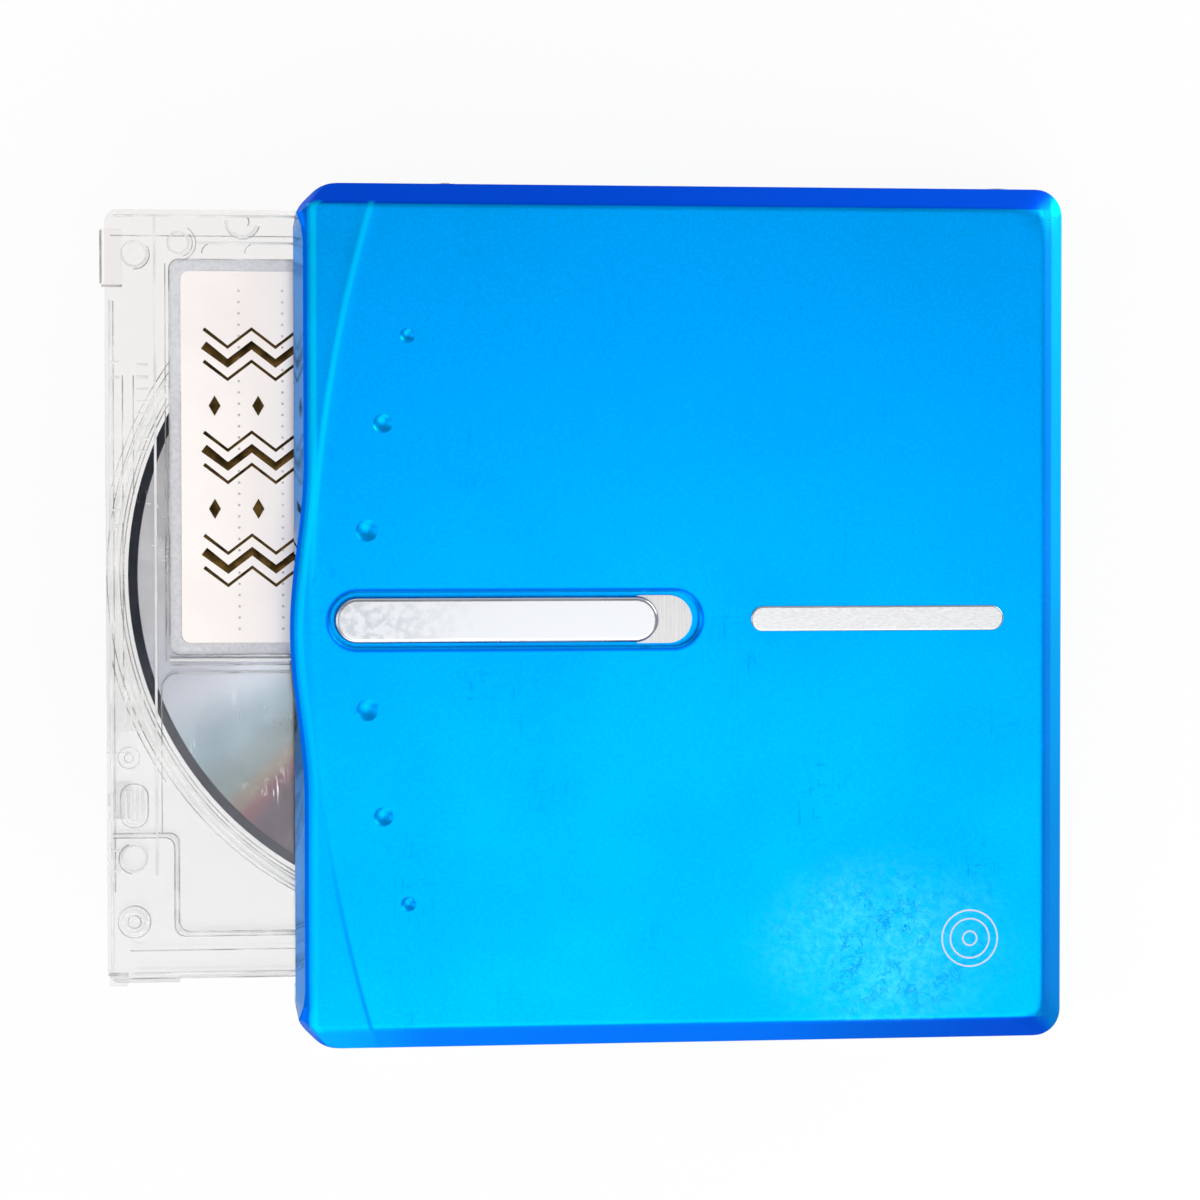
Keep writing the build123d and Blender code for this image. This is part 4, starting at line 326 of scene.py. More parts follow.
# Each line's core and outer edge, in millimetres from its middle or from the lid's edge.
FOLD_SHADE_LINE = (EDGE_WIDTH - 0.1, EDGE_WIDTH + 0.2)
HINGE_REFLECTION_BAND = (1.0, 1.35)
SIDE_REFLECTION_BAND = (EDGE_WIDTH - 0.12, EDGE_WIDTH + 0.12)
SIDE_CLEAR = (1.6, 2.1)
MITRE = (-1.4, 1.2)
SLOT_HIGHLIGHT_AT = 0.95
SLOT_HIGHLIGHT_WIDTH = (0.12, 0.42)
SLOT_RIM_SHADE = (0.3, 0.5)
CREASE_HIGHLIGHT_LINE = (0.08, 0.42)
SHADOW_LINE = (0.05, 0.3)
LIP_SHADE_LINE = (0.06, 0.2)
RUBBED_AND_SHEEN_AT = (19.5, -31.5)
RUBBED_AND_SHEEN_REACH = (2.0, 15.0)


def lid_blue():
    """The lid's satin blue, with painted reflections in its colour: painted highlights and painted shade
    along its bevels, bends and rims, and a rubbed corner that is partly wear and partly a painted sheen.
    """
    finish = Finish("lid_anodised_blue", (0.0, 0.37, 0.97), 1.0, 0.42)
    tree = finish.tree
    tint = finish.wear(grain=0.24, haze=16.0, spread=0.03, tooth=0.34, dark=0.965, scratch=0.2, speckle=0.9)
    from_pin, y, _ = in_parts(tree, lid_coordinates(tree, finish.where, to_metres(*HINGE)))
    x = math_node(tree, "ADD", from_pin, HINGE[0] * MM)
    from_hinge = math_node(tree, "SUBTRACT", BACK * MM, x)
    from_side = math_node(tree, "SUBTRACT", SIDE * MM, math_node(tree, "ABSOLUTE", y))
    off_side = ramp(tree, from_side, SIDE_CLEAR[0] * MM, SIDE_CLEAR[1] * MM)
    tint = bevel_reflections(finish, tint, x, y, from_hinge, from_side)
    tint = slot_edge_highlight_and_shade(finish, tint, x, y, from_side, off_side)

    along = math_node(tree, "SUBTRACT", y, MIDDLE * MM)
    across = math_node(tree, "SUBTRACT", x, (FRONT + ARC_START + ARC_RADIUS) * MM)
    off_arc = off_from(tree, length_of(tree, across, along), ARC_RADIUS * MM)
    upper = ramp(tree, y, -2 * MM, 14 * MM, 0.0, 0.7)
    lower = ramp(tree, y, -36 * MM, -14 * MM, 0.6, 0.0)
    # Painted highlight along the upper part of the arc crease and painted shadow along its lower part.
    for line, share, color in ((CREASE_HIGHLIGHT_LINE, upper, HIGHLIGHT_BLUE), (SHADOW_LINE, lower, SHADE_BLUE)):
        crease = math_node(tree, "MULTIPLY", near_to(tree, off_arc, line), off_side)
        tint = finish.blend(math_node(tree, "MULTIPLY", crease, share), tint, color)

    x0, length, width = TROUGH
    beyond = off_from(tree, x, (x0 + length / 2) * MM)
    beyond = math_node(tree, "SUBTRACT", beyond, (length - width) / 2 * MM)
    beyond = math_node(tree, "MAXIMUM", beyond, 0.0)
    off_lip = off_from(tree, length_of(tree, beyond, along), (width / 2 + TROUGH_LIP) * MM)
    # Painted shade in a thin dark line round the trough's lip.
    tint = finish.blend(near_to(tree, off_lip, LIP_SHADE_LINE, 0.8), tint, SHADE_BLUE)

    # The rubbed corner: pale mottle and scratches, partly wear and partly a painted sheen, and dark
    # crazing.
    for mask, color in zip(rubbed_and_sheen_patch(finish, x, y), (RUBBED_AND_SHEEN_BLUE, CRAZED_BLUE)):
        tint = finish.blend(math_node(tree, "MULTIPLY", mask, off_side), tint, color)
    finish.link(tint, "Base Color")
    return finish.material


def bevel_reflections(finish, tint, x, y, from_hinge, from_side):
    """Painted reflections on the lid's edges: painted shade on the fold beside the hinge, a painted
    highlight along the hinge edge, and painted shade and highlight along the bevels of both sides.
    """
    tree = finish.tree
    # Painted shade on the fold where the top bends down into the hinge edge's bevel.
    tint = finish.blend(near_to(tree, from_hinge, FOLD_SHADE_LINE, 0.55), tint, FOLD_SHADE_BLUE)
    # Painted reflection on the hinge edge's band: darker at its near end and a painted highlight towards
    # its far end.
    hinge_reflection = finish.blend(ramp(tree, y, -SIDE * MM, 12 * MM), *HINGE_REFLECTION_BLUES)
    tint = finish.blend(near_to(tree, from_hinge, HINGE_REFLECTION_BAND), tint, hinge_reflection)
    # Painted reflections on the side bevels: painted shade along the far one; along the near one a painted
    # highlight at its slot end that darkens to painted shade towards the hinge.
    far_shade = finish.blend(ramp(tree, x, -30 * MM, 34 * MM), *FAR_SHADE_BLUES)
    near_slot_highlight = finish.blend(ramp(tree, x, -34 * MM, -23 * MM), *NEAR_REFLECTION_BLUES[:2])
    near_reflection = finish.blend(ramp(tree, x, 8 * MM, 34 * MM), near_slot_highlight, NEAR_REFLECTION_BLUES[2])
    side_reflection = finish.blend(ramp(tree, y, -MM, MM), near_reflection, far_shade)
    from_edge = math_node(tree, "MINIMUM", from_side, math_node(tree, "ADD", from_hinge, 0.75 * MM))
    beside = near_to(tree, math_node(tree, "SUBTRACT", from_side, from_hinge), MITRE)
    bevel = math_node(tree, "MULTIPLY", near_to(tree, from_edge, SIDE_REFLECTION_BAND), beside)
    return finish.blend(bevel, tint, side_reflection)


def slot_edge_highlight_and_shade(finish, tint, x, y, from_side, off_side):
    """The painted highlight line that follows the bend beside the slot edge, and the painted shade of the
    rim outside it.
    """
    tree = finish.tree
    off_swell = off_from(tree, y, SWELL_MIDDLE * MM)
    swell = ramp(tree, off_swell, 0.0, SWELL_HALF * MM, STRIP_SWELL * MM, 0.0)
    past_strip = math_node(tree, "SUBTRACT", x, (FRONT + STRIP_WIDTH) * MM)
    past_cut = math_node(tree, "ADD", math_node(tree, "SUBTRACT", x, (FRONT + CORNER_CUT) * MM), from_side)
    past_cut = math_node(tree, "MULTIPLY", past_cut, math.sqrt(0.5))
    from_edge = math_node(tree, "MINIMUM", math_node(tree, "ADD", past_strip, swell), past_cut)
    slot_highlight = near_to(tree, off_from(tree, from_edge, SLOT_HIGHLIGHT_AT * MM), SLOT_HIGHLIGHT_WIDTH)
    upper = ramp(tree, y, -14 * MM, 8 * MM, 0.3, 0.85)
    slot_highlight = math_node(tree, "MULTIPLY", slot_highlight, math_node(tree, "MULTIPLY", off_side, upper))
    # Painted highlight along the bend beside the slot edge.
    tint = finish.blend(slot_highlight, tint, HIGHLIGHT_BLUE)
    # Painted shade on the rim at the slot edge.
    return finish.blend(near_to(tree, from_edge, SLOT_RIM_SHADE, 0.85), tint, SHADE_BLUE)


def rubbed_and_sheen_patch(finish, x, y):
    """Masks of the rubbed corner: a pale mottle with scratches, partly wear and partly a painted sheen
    under a soft cloud, and its dark crazing.
    """
    tree = finish.tree
    where = finish.where
    across = math_node(tree, "SUBTRACT", x, RUBBED_AND_SHEEN_AT[0] * MM)
    along = math_node(tree, "MULTIPLY", math_node(tree, "SUBTRACT", y, RUBBED_AND_SHEEN_AT[1] * MM), 1.4)
    near = near_to(tree, length_of(tree, across, along), RUBBED_AND_SHEEN_REACH)
    mottle = ramp(tree, noise(tree, where, 1 / (0.9 * MM), 8.0, 0.8, 0.2), 0.4, 0.66, 0.05, 0.5)
    # The cloud lightens a soft patch of the corner: a painted sheen.
    sheen_cloud = ramp(tree, noise(tree, where, 1 / (11 * MM), 2.0, 0.5), 0.3, 0.6, 0.35, 1.0)
    light = mottle
    for turn, size in ((0.5, 1.3), (-0.9, 1.7), (1.35, 1.1)):
        turned = node(tree, "Mapping")
        tree.links.new(where, turned.inputs["Vector"])
        turned.inputs["Rotation"].default_value = (0.0, 0.0, turn)
        long_way = stretched(tree, turned.outputs["Vector"], (1.0, 0.06, 1.0))
        scratches = ramp(tree, noise(tree, long_way, 5 / (size * MM), 1.0), 0.7, 0.74, 0.0, 0.35)
        light = math_node(tree, "MAXIMUM", light, scratches)
    light = math_node(tree, "MULTIPLY", math_node(tree, "MULTIPLY", near, sheen_cloud), light)
    off_vein = off_from(tree, noise(tree, where, 1 / (2.2 * MM), 5.0, 0.7, 0.5), 0.5)
    veins = ramp(tree, off_vein, 0.008, 0.032, 0.85, 0.0)
    patches = ramp(tree, noise(tree, where, 1 / (3.5 * MM), 3.0, 0.6), 0.46, 0.6)
    crazing = math_node(tree, "MULTIPLY", veins, patches)
    return light, math_node(tree, "MULTIPLY", near, crazing)


def mirror_blue():
    """The polished strip over the slot."""
    finish = Finish("polished_blue", (0.11, 0.3, 0.68), 1.0, 0.1)
    finish.wear(grain=0.3, haze=6.0, spread=0.04, tooth=0.03, dark=0.9, scratch=0.2)
    return finish.material


def metal(name, color, roughness, grain=0.12, tooth=0.2, dark=0.9, **more):
    finish = Finish(name, color, 1.0, roughness)
    finish.wear(grain=grain, tooth=tooth, dark=dark, **more)
    return finish.material


def brushed(name, color, roughness, along, grain_mm=0.05):
    """Metal brushed along X or Y."""
    finish = Finish(name, color, 1.0, roughness)
    squeeze = (0.02, 1.0, 1.0) if along == "X" else (1.0, 0.02, 1.0)
    lines = noise(finish.tree, stretched(finish.tree, finish.where, squeeze), 1 / (grain_mm * MM), 3.0)
    gloss = ramp(finish.tree, lines, 0.25, 0.75, roughness - 0.08, roughness + 0.12)
    finish.link(gloss, "Roughness")
    dark = tuple(0.74 * part for part in color)
    finish.link(finish.blend(ramp(finish.tree, lines, 0.35, 0.65), dark, color), "Base Color")
    finish.bump(lines, 0.35)
    return finish.material


def moulded(name, color, roughness=0.5, grain=0.15, tooth=0.25, **constants):
    finish = Finish(name, color, 0.0, roughness, **constants)
    finish.wear(grain=grain, tooth=tooth, dark=0.8, dust=0.6)
    return finish.material


TRACKS_PER_METRE = 700
FLEX_LINES_PER_METRE = 420


def board_green():
    """Lacquered board with the copper's pattern showing through."""
    finish = Finish("board_lacquer", (0.01, 0.16, 0.07), 0.0, 0.3, Coat_Weight=0.4)
    cells = node(finish.tree, "TexVoronoi", feature="F1", distance="MANHATTAN")
    finish.tree.links.new(finish.where, cells.inputs["Vector"])
    cells.inputs["Scale"].default_value = TRACKS_PER_METRE
    tracks = ramp(finish.tree, cells.outputs["Distance"], 0.32, 0.36)
    finish.link(finish.blend(tracks, (0.015, 0.2, 0.09), (0.005, 0.1, 0.045)), "Base Color")
    finish.bump(tracks, 0.2)
    return finish.material


def chip_black():
    """Moulded chips with a faint mottle."""
    finish = Finish("chip_resin", (0.03, 0.03, 0.035), 0.0, 0.45)
    finish.wear(grain=0.08, haze=3.0, tooth=0.2, dark=0.6)
    return finish.material


def flex_amber():
    """Polyimide film over copper tracks that run along it."""
    finish = Finish("flex_film", (0.5, 0.2, 0.03), 0.0, 0.25, Coat_Weight=0.3)
    wave = node(finish.tree, "TexWave", wave_type="BANDS", bands_direction="Y", wave_profile="SIN")
    finish.tree.links.new(finish.where, wave.inputs["Vector"])
    wave.inputs["Scale"].default_value = FLEX_LINES_PER_METRE
    lines = ramp(finish.tree, wave.outputs["Fac"], 0.4, 0.6)
    finish.link(finish.blend(lines, (0.55, 0.24, 0.05), (0.34, 0.12, 0.02)), "Base Color")
    finish.bump(lines, 0.2)
    return finish.material


CLEAR = (0.975, 0.965, 0.96)
NEAR_END_SHADE = (0.88, 0.88, 0.88)
NEAR_END_SHADE_REACH = (-24.0, 22.0)


def clear_shell():
    """Clear moulded plastic, very slightly hazy, and greyer towards its near end: a painted shade."""
    finish = Finish("clear_polycarbonate", CLEAR, 0.0, 0.06, Transmission_Weight=1.0, IOR=1.33)
    tree = finish.tree
    surface = finish.group(FINE_GRAIN, Grain_Size_mm=0.5, Haze_Size_mm=9.0)
    marks = finish.group(SCUFFS, Scratch_Size_mm=0.9, Patch_Size_mm=7.0)
    _, y, _ = in_parts(tree, finish.where)
    # Painted shade: the clear plastic turns greyer towards the case's near end.
    finish.link(finish.blend(near_to(tree, y, NEAR_END_SHADE_REACH), CLEAR, NEAR_END_SHADE), "Base Color")
    gloss = ramp(tree, surface.outputs["Haze"], 0.0, 1.0, 0.03, 0.12)
    scratched = math_node(tree, "MULTIPLY", marks.outputs["Scratches"], 0.3)
    finish.link(math_node(tree, "ADD", gloss, scratched), "Roughness")
    finish.bump(surface.outputs["Height"], 0.04)
    return finish.material


def frosted_shell():
    """The label's border, blasted so that it is grey and rough."""
    finish = Finish("frosted_border", (0.62, 0.63, 0.66), 0.0, 0.55, Transmission_Weight=0.35, IOR=1.45)
    surface = finish.group(FINE_GRAIN, Grain_Size_mm=0.35, Haze_Size_mm=2.5)
    finish.link(finish.blend(surface.outputs["Height"], (0.6, 0.61, 0.65), (0.97, 0.97, 1.0)), "Base Color")
    finish.bump(surface.outputs["Height"], 0.5)
    return finish.material


def label_paper():
    """Cream paper, faintly mottled."""
    finish = Finish("label_paper", (0.91, 0.85, 0.83), 0.0, 0.6)
    surface = finish.group(FINE_GRAIN, Grain_Size_mm=0.18, Haze_Size_mm=11.0)
    paper = finish.blend(surface.outputs["Haze"], (0.86, 0.8, 0.78), (0.92, 0.86, 0.835))
    finish.link(paper, "Base Color")
    finish.bump(surface.outputs["Height"], 0.25)
    return finish.material


def painted_rib_shade():
    """Painted shade: the darker look given to the shaded side of a moulded rib."""
    finish = Finish("painted_rib_shade", (0.6, 0.6, 0.6), 0.0, 0.15, Transmission_Weight=0.7, IOR=1.38)
    surface = finish.group(FINE_GRAIN, Grain_Size_mm=0.4, Haze_Size_mm=3.0)
    finish.link(finish.blend(surface.outputs["Haze"], (0.42, 0.42, 0.41), (0.96, 0.96, 0.95)), "Base Color")
    finish.bump(surface.outputs["Height"], 0.1)
    return finish.material


def painted_rib_highlight():
    """Painted highlight: the pale look given to a rib's rounded top."""
    finish = Finish("painted_rib_highlight", (0.93, 0.93, 0.92), 0.0, 0.4, Transmission_Weight=0.25, IOR=1.38)
    surface = finish.group(FINE_GRAIN, Grain_Size_mm=0.4, Haze_Size_mm=3.0)
    finish.link(finish.blend(surface.outputs["Haze"], (0.8, 0.8, 0.79), (0.97, 0.97, 0.96)), "Base Color")
    finish.bump(surface.outputs["Height"], 0.1)
    return finish.material


def printed_grey():
    """Grey print on the label."""
    finish = Finish("grey_print", (0.5, 0.49, 0.5), 0.0, 0.6)
    surface = finish.group(FINE_GRAIN, Grain_Size_mm=0.1, Haze_Size_mm=4.0)
    finish.link(finish.blend(surface.outputs["Haze"], (0.42, 0.41, 0.42), (0.6, 0.58, 0.58)), "Base Color")
    return finish.material


MOTTLED_REACH = (-31.0, -14.0)


def mottled_silver():
    """The slider's satin top: plain at its hinge end, mottled and darker towards its slot end."""
    finish = Finish("mottled_silver", (0.525, 0.546, 0.583), 1.0, 0.4)
    tree = finish.tree
    surface = finish.group(FINE_GRAIN, Grain_Size_mm=0.16, Haze_Size_mm=0.7)
    x, _, _ = in_parts(tree, finish.where)
    rubbed = near_to(tree, x, MOTTLED_REACH)
    mottle = math_node(tree, "MULTIPLY", ramp(tree, surface.outputs["Haze"], 0.1, 0.95), rubbed)
    finish.link(finish.blend(mottle, (0.6, 0.615, 0.64), (0.5, 0.53, 0.565)), "Base Color")
    finish.link(ramp(tree, mottle, 0.0, 1.0, 0.38, 0.46), "Roughness")
    finish.bump(surface.outputs["Height"], 0.08)
    return finish.material




# ------------------------------------------------------------ the disc's face
DISC_RADIUS = 32.0
RIM_WIDTH = 0.9
RIM_NAVY = (0.001, 0.006, 0.022)
REFLECTION_SWEEP_TURN = 70.0
# A painted reflection: the disc's colour sweeps from near white through faint rainbow tints to near black.
PAINTED_REFLECTION_SWEEP = [
    (0.0, (0.95, 0.95, 1.0)),
    (0.3, (0.58, 0.61, 0.69)),
    (0.48, (0.26, 0.35, 0.41)),
    (0.59, (0.19, 0.24, 0.25)),
    (0.64, (0.2, 0.165, 0.14)),
    (0.675, (0.15, 0.06, 0.085)),
    (0.71, (0.07, 0.05, 0.07)),
    (1.0, (0.035, 0.04, 0.055)),
]


def disc_finish():
    """A mirror face with a dark rim, and a painted reflection in its colour: a sweep from near white
    through faint rainbow tints to near black that turns about the disc's middle.
    """
    finish = Finish("disc_face", (0.55, 0.6, 0.68), 0.5, 0.16)
    tree = finish.tree
    middle = CARTRIDGE_PLACE @ to_metres(*DISC_AT, PARTING_Z)
    x, y, _ = in_parts(tree, lid_coordinates(tree, finish.where, middle))
    turn = math_node(
        tree, "ARCTAN2", math_node(tree, "MULTIPLY", y, -1.0), math_node(tree, "MULTIPLY", x, -1.0)
    )
    sweep = ramp(tree, turn, 0.0, math.radians(REFLECTION_SWEEP_TURN))
    sweep.node.interpolation_type = "LINEAR"
    reflection_ramp = node(tree, "ValToRGB")
    reflection_ramp.color_ramp.interpolation = "EASE"
    stops = reflection_ramp.color_ramp.elements
    for place, color in PAINTED_REFLECTION_SWEEP[1:-1]:
        stops.new(place).color = (*color, 1)
    stops[0].color = (*PAINTED_REFLECTION_SWEEP[0][1], 1)
    stops[len(stops) - 1].color = (*PAINTED_REFLECTION_SWEEP[-1][1], 1)
    tree.links.new(sweep, reflection_ramp.inputs["Fac"])
    edge = DISC_RADIUS - RIM_WIDTH
    rim = ramp(tree, length_of(tree, x, y), (edge - 0.04) * MM, (edge + 0.04) * MM)
    marks = finish.group(SCUFFS, Scratch_Size_mm=0.8, Patch_Size_mm=5.0)
    face = finish.blend(marks.outputs["Scratches"], reflection_ramp.outputs["Color"], (0.8, 0.82, 0.85))
    finish.link(finish.blend(rim, face, RIM_NAVY), "Base Color")
    surface = finish.group(FINE_GRAIN, Grain_Size_mm=0.3, Haze_Size_mm=6.0)
    finish.link(ramp(tree, surface.outputs["Haze"], 0.0, 1.0, 0.1, 0.2), "Roughness")
    return finish.material


def gold_foil():
    """Dark gold foil, thin and a little rubbed."""
    finish = Finish("gold_foil", (0.13, 0.075, 0.02), 1.0, 0.32)
    surface = finish.group(FINE_GRAIN, Grain_Size_mm=0.25, Haze_Size_mm=1.2)
    foil = finish.blend(surface.outputs["Haze"], (0.02, 0.012, 0.004), (0.09, 0.052, 0.014))
    finish.link(foil, "Base Color")
    finish.bump(surface.outputs["Height"], 0.2)
    return finish.material


# ------------------------------------------------------------ a finish for each of the part's slots
FINISHES = {
    "satin_blue": body_blue(),
    "satin_silver": metal("satin_silver", (0.74, 0.76, 0.79), 0.36, grain=0.09, dark=0.93),
    "polished_silver": metal("polished_silver", (0.56, 0.575, 0.6), 0.26, grain=0.12, tooth=0.08, dark=0.9),
    "brushed_silver": brushed("cross_brushed_silver", (0.66, 0.655, 0.655), 0.42, "Y", 0.09),
    "sheet_steel": brushed("rolled_steel", (0.5, 0.51, 0.52), 0.4, "X"),
    "spring_steel": metal("spring_steel", (0.45, 0.45, 0.46), 0.28),
    "zinc_screw": metal("zinc_plate", (0.58, 0.58, 0.57), 0.32, grain=0.06),
    "motor_can": metal("pressed_steel", (0.6, 0.6, 0.61), 0.3),
    "black_plastic": moulded("black_moulding", (0.028, 0.028, 0.032), 0.48),
    "rubber_damper": moulded("soft_rubber", (0.02, 0.02, 0.02), 0.8, grain=0.2),
    "magnet": moulded("bonded_magnet", (0.06, 0.06, 0.065), 0.55, grain=0.1),
    "lens_glass": moulded("coated_lens", (0.6, 0.72, 0.85), 0.05, tooth=0.02, Coat_Weight=1.0),
    "circuit_board": board_green(),
    "chip": chip_black(),
    "flex_film": flex_amber(),
    "brass": metal("turned_brass", (0.75, 0.52, 0.2), 0.28),
    "battery_wrap": moulded("battery_sleeve", (0.3, 0.32, 0.35), 0.3, Coat_Weight=0.3),
    "gold_contact": metal("gold_plate", (0.85, 0.62, 0.25), 0.22, grain=0.05),
    "clear_plastic": clear_shell(),
    "paper_label": label_paper(),
    "disc_face": disc_finish(),
    "white_tab": moulded("milky_tab", (0.98, 0.98, 0.98), 0.12, Transmission_Weight=1.0, IOR=1.33),
}
for part in frame["record"]["subparts"]:
    for place in nodes[part["node"]].material_slots:
        place.material = FINISHES[part["material_slot"]]


# ------------------------------------------------------------ mesh helpers
def finished(name, shape, finish, body, place=None, smooth_angle=32.0):
    """Turns a bmesh into a piece that rides on a body, its place written into its mesh."""
    mesh = bpy.data.meshes.new(name)
    if place is not None:
        shape.transform(place)
    shape.to_mesh(mesh)
    shape.free()
    return finished_mesh(name, mesh, finish, body, smooth_angle)


def finished_mesh(name, mesh, finish, body, smooth_angle=32.0):
    piece = bpy.data.objects.new(name, mesh)
    bpy.context.scene.collection.objects.link(piece)
    mesh.shade_smooth()
    mesh.set_sharp_from_angle(angle=math.radians(smooth_angle))
    for each in finish if isinstance(finish, list) else [finish]:
        mesh.materials.append(each)
    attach(piece, body)
    return piece


def prism(shape, points, z0, z1, top_points=None):
    """A closed upright block on an outline in millimetres; its top may have its own outline."""
    low = [shape.verts.new(to_metres(x, y, z0)) for x, y in points]
    bottom = shape.faces.new(low)
    made = bmesh.ops.extrude_face_region(shape, geom=[bottom], use_keep_orig=True)["geom"]
    for vert in (v for v in made if isinstance(v, bmesh.types.BMVert)):
        vert.co.z = z1 * MM
    top = [f for f in made if isinstance(f, bmesh.types.BMFace)][0]
    for below, (x, y) in zip(low, top_points or ()):
        above = [e.other_vert(below) for e in below.link_edges if e.other_vert(below) not in low][0]
        above.co = to_metres(x, y, z1)
    return top


def turned_outward(shape):
    """Turns every face of a closed shape to point out of it."""
    bmesh.ops.recalc_face_normals(shape, faces=shape.faces[:])


def box_outline(x0, x1, y0, y1):
    """A rectangle's outline."""
    return [(x0, y0), (x1, y0), (x1, y1), (x0, y1)]


def stadium_outline(x0, y, length, width, steps=16):
    """The outline of a long rounded bar that starts at x0."""
    half = width / 2
    ends = ((x0 + length - half, -90), (x0 + half, 90))
    outline = []
    for middle, start in ends:
        for step in range(steps + 1):
            turn = math.radians(start + 180 * step / steps)
            outline.append((middle + half * math.cos(turn), y + half * math.sin(turn)))
    return outline


def rounded_outline(x0, x1, y0, y1, radius, steps=6):
    """A rectangle's outline with round corners."""
    outline = []
    for x, y, start in (
        (x1 - radius, y0 + radius, -90),
        (x1 - radius, y1 - radius, 0),
        (x0 + radius, y1 - radius, 90),
        (x0 + radius, y0 + radius, 180),
    ):
        for step in range(steps + 1):
            turn = math.radians(start + 90 * step / steps)
            outline.append((x + radius * math.cos(turn), y + radius * math.sin(turn)))
    return outline


def with_boolean(piece_mesh, cutter_mesh, operation):
    """Joins or cuts two closed meshes and gives back the new mesh."""
    body = bpy.data.objects.new("work", piece_mesh)
    tool = bpy.data.objects.new("tool", cutter_mesh)
    for each in (body, tool):
        bpy.context.scene.collection.objects.link(each)
    step = body.modifiers.new("step", "BOOLEAN")
    step.operation = operation
    step.solver = "EXACT"
    step.object = tool
    bpy.context.view_layer.update()
    result = bpy.data.meshes.new_from_object(body.evaluated_get(bpy.context.evaluated_depsgraph_get()))
    bpy.data.objects.remove(body)
    bpy.data.objects.remove(tool)
    return result


def as_mesh(shape):
    """A bmesh made into a mesh that is still to be worked on."""
    mesh = bpy.data.meshes.new("work")
    shape.to_mesh(mesh)
    shape.free()
    return mesh


# ------------------------------------------------------------ the lid's shell
CUT_BLEND = 3.4
CUT_STEEPNESS = 3.0
BACK_RADIUS = 2.6
EDGE_DROP = 1.3
SOFTNESS = 0.28
CORNER_EASE = 2.6
SLOPE = 0.1 / 8.0
CREST = 0.11
CREST_HALF = 0.5
SLOPE_SHARES = [0.0, 0.015, 0.03, 0.045, 0.06, 0.08, 0.1, 0.125, 0.15]
SLOPE_SHARES += [0.2, 0.3, 0.4, 0.5, 0.6, 0.7, 0.8, 0.87, 0.94]
ROLL_WIDTH = 1.3
ROLL_DROP = 0.16
STRIP_DROP = 1.15
MOUTH_Z = 13.75
RIM_Z = 11.4
MOUTH = (-34.7, 38.5)
LID_WALL = 0.6
TROUGH_FLOOR_Z = 15.3
LIP_DROP = 0.3
PAN_Z = 14.7
SLIDER_POSTS = [FRONT + 3.7 + 6.0, FRONT + 3.7 + 20.0]
POST_HALF = 0.7
POST_PLAY = 0.1
SLIDER_TRAVEL = 3.4
PAN_MARGIN = 0.8
SPRING_SEAT = (-21.0, 4.85, 0.5)
SPRING_SEAT_Z = (14.3, 15.7)
DIMPLES = [(8.35, 6.7, 1.04), (18.3, 8.2, 0.91), (26.5, 10.5, 0.7)]
DIMPLE_DEPTH = 0.3
SIDE_SCREWS = [(14.2, 1), (67.0, 1), (18.4, -1), (65.1, -1)]
SIDE_SCREW_Z = 12.9
SCREW_SEAT = (1.16, 1.0)
SCREW_BORE = (0.7, 2.4)


def soft_ramp(distance, softness):
    """Zero below zero, a straight rise above it, and a round bend between."""
    if distance <= -softness:
        return 0.0
    if distance >= softness:
        return distance
    return (distance + softness) ** 2 / (4 * softness)


def slot_edge(y):
    """How far along X the outline is at the slot, with its cut and rounded corners."""
    lap = CUT_BLEND * math.tan(math.radians(22.5))
    along = lap * math.cos(math.radians(45))
    reach = abs(y)
    low = SIDE - CORNER_CUT - lap
    if reach <= low:
        return FRONT
    if reach <= SIDE - CORNER_CUT + along:
        return FRONT + CUT_BLEND - math.sqrt(max(CUT_BLEND**2 - (reach - low) ** 2, 0.0))
    if reach <= SIDE - along:
        return FRONT + CORNER_CUT - (SIDE - reach)
    rise = reach - (SIDE - CUT_BLEND)
    return FRONT + CORNER_CUT + lap - math.sqrt(max(CUT_BLEND**2 - rise**2, 0.0))


def hinge_edge(y):
    """How far along X the outline is at the hinge, with its round corners."""
    over = max(abs(y) - (SIDE - BACK_RADIUS), 0.0)
    return BACK - BACK_RADIUS + math.sqrt(max(BACK_RADIUS**2 - over**2, 0.0))


def strip_width(y):
    """The polished strip's width over the slot: none where the satin top swells out over it."""
    swell = math.cos(min(abs(y - SWELL_MIDDLE) / SWELL_HALF, 1.0) * math.pi / 2) ** 2
    corner = min(max((SIDE - CORNER_CUT - 0.1 - abs(y)) / 1.6, 0.0), 1.0)
    return corner * (STRIP_WIDTH - STRIP_SWELL * swell)


def arc_edge(y):
    """Where the arc crease crosses a line along X."""
    return FRONT + ARC_START + ARC_RADIUS - math.sqrt(ARC_RADIUS**2 - (y - MIDDLE) ** 2)


def inside_by(x, y):
    """How far a point is inside the outline, rounded in the corners; the slot edge is left out."""
    from_side = SIDE - abs(y)
    inside = round_least(from_side, BACK - x, CORNER_EASE)
    cut = CUT_STEEPNESS * ((x - FRONT) + from_side - CORNER_CUT) / math.sqrt(2)
    return round_least(inside, cut + 0.05, 0.6)


def round_least(first, second, width):
    """The lesser of two, with a round passage from one to the other."""
    share = max(width - abs(first - second), 0.0) / width
    return min(first, second) - share * share * width / 4


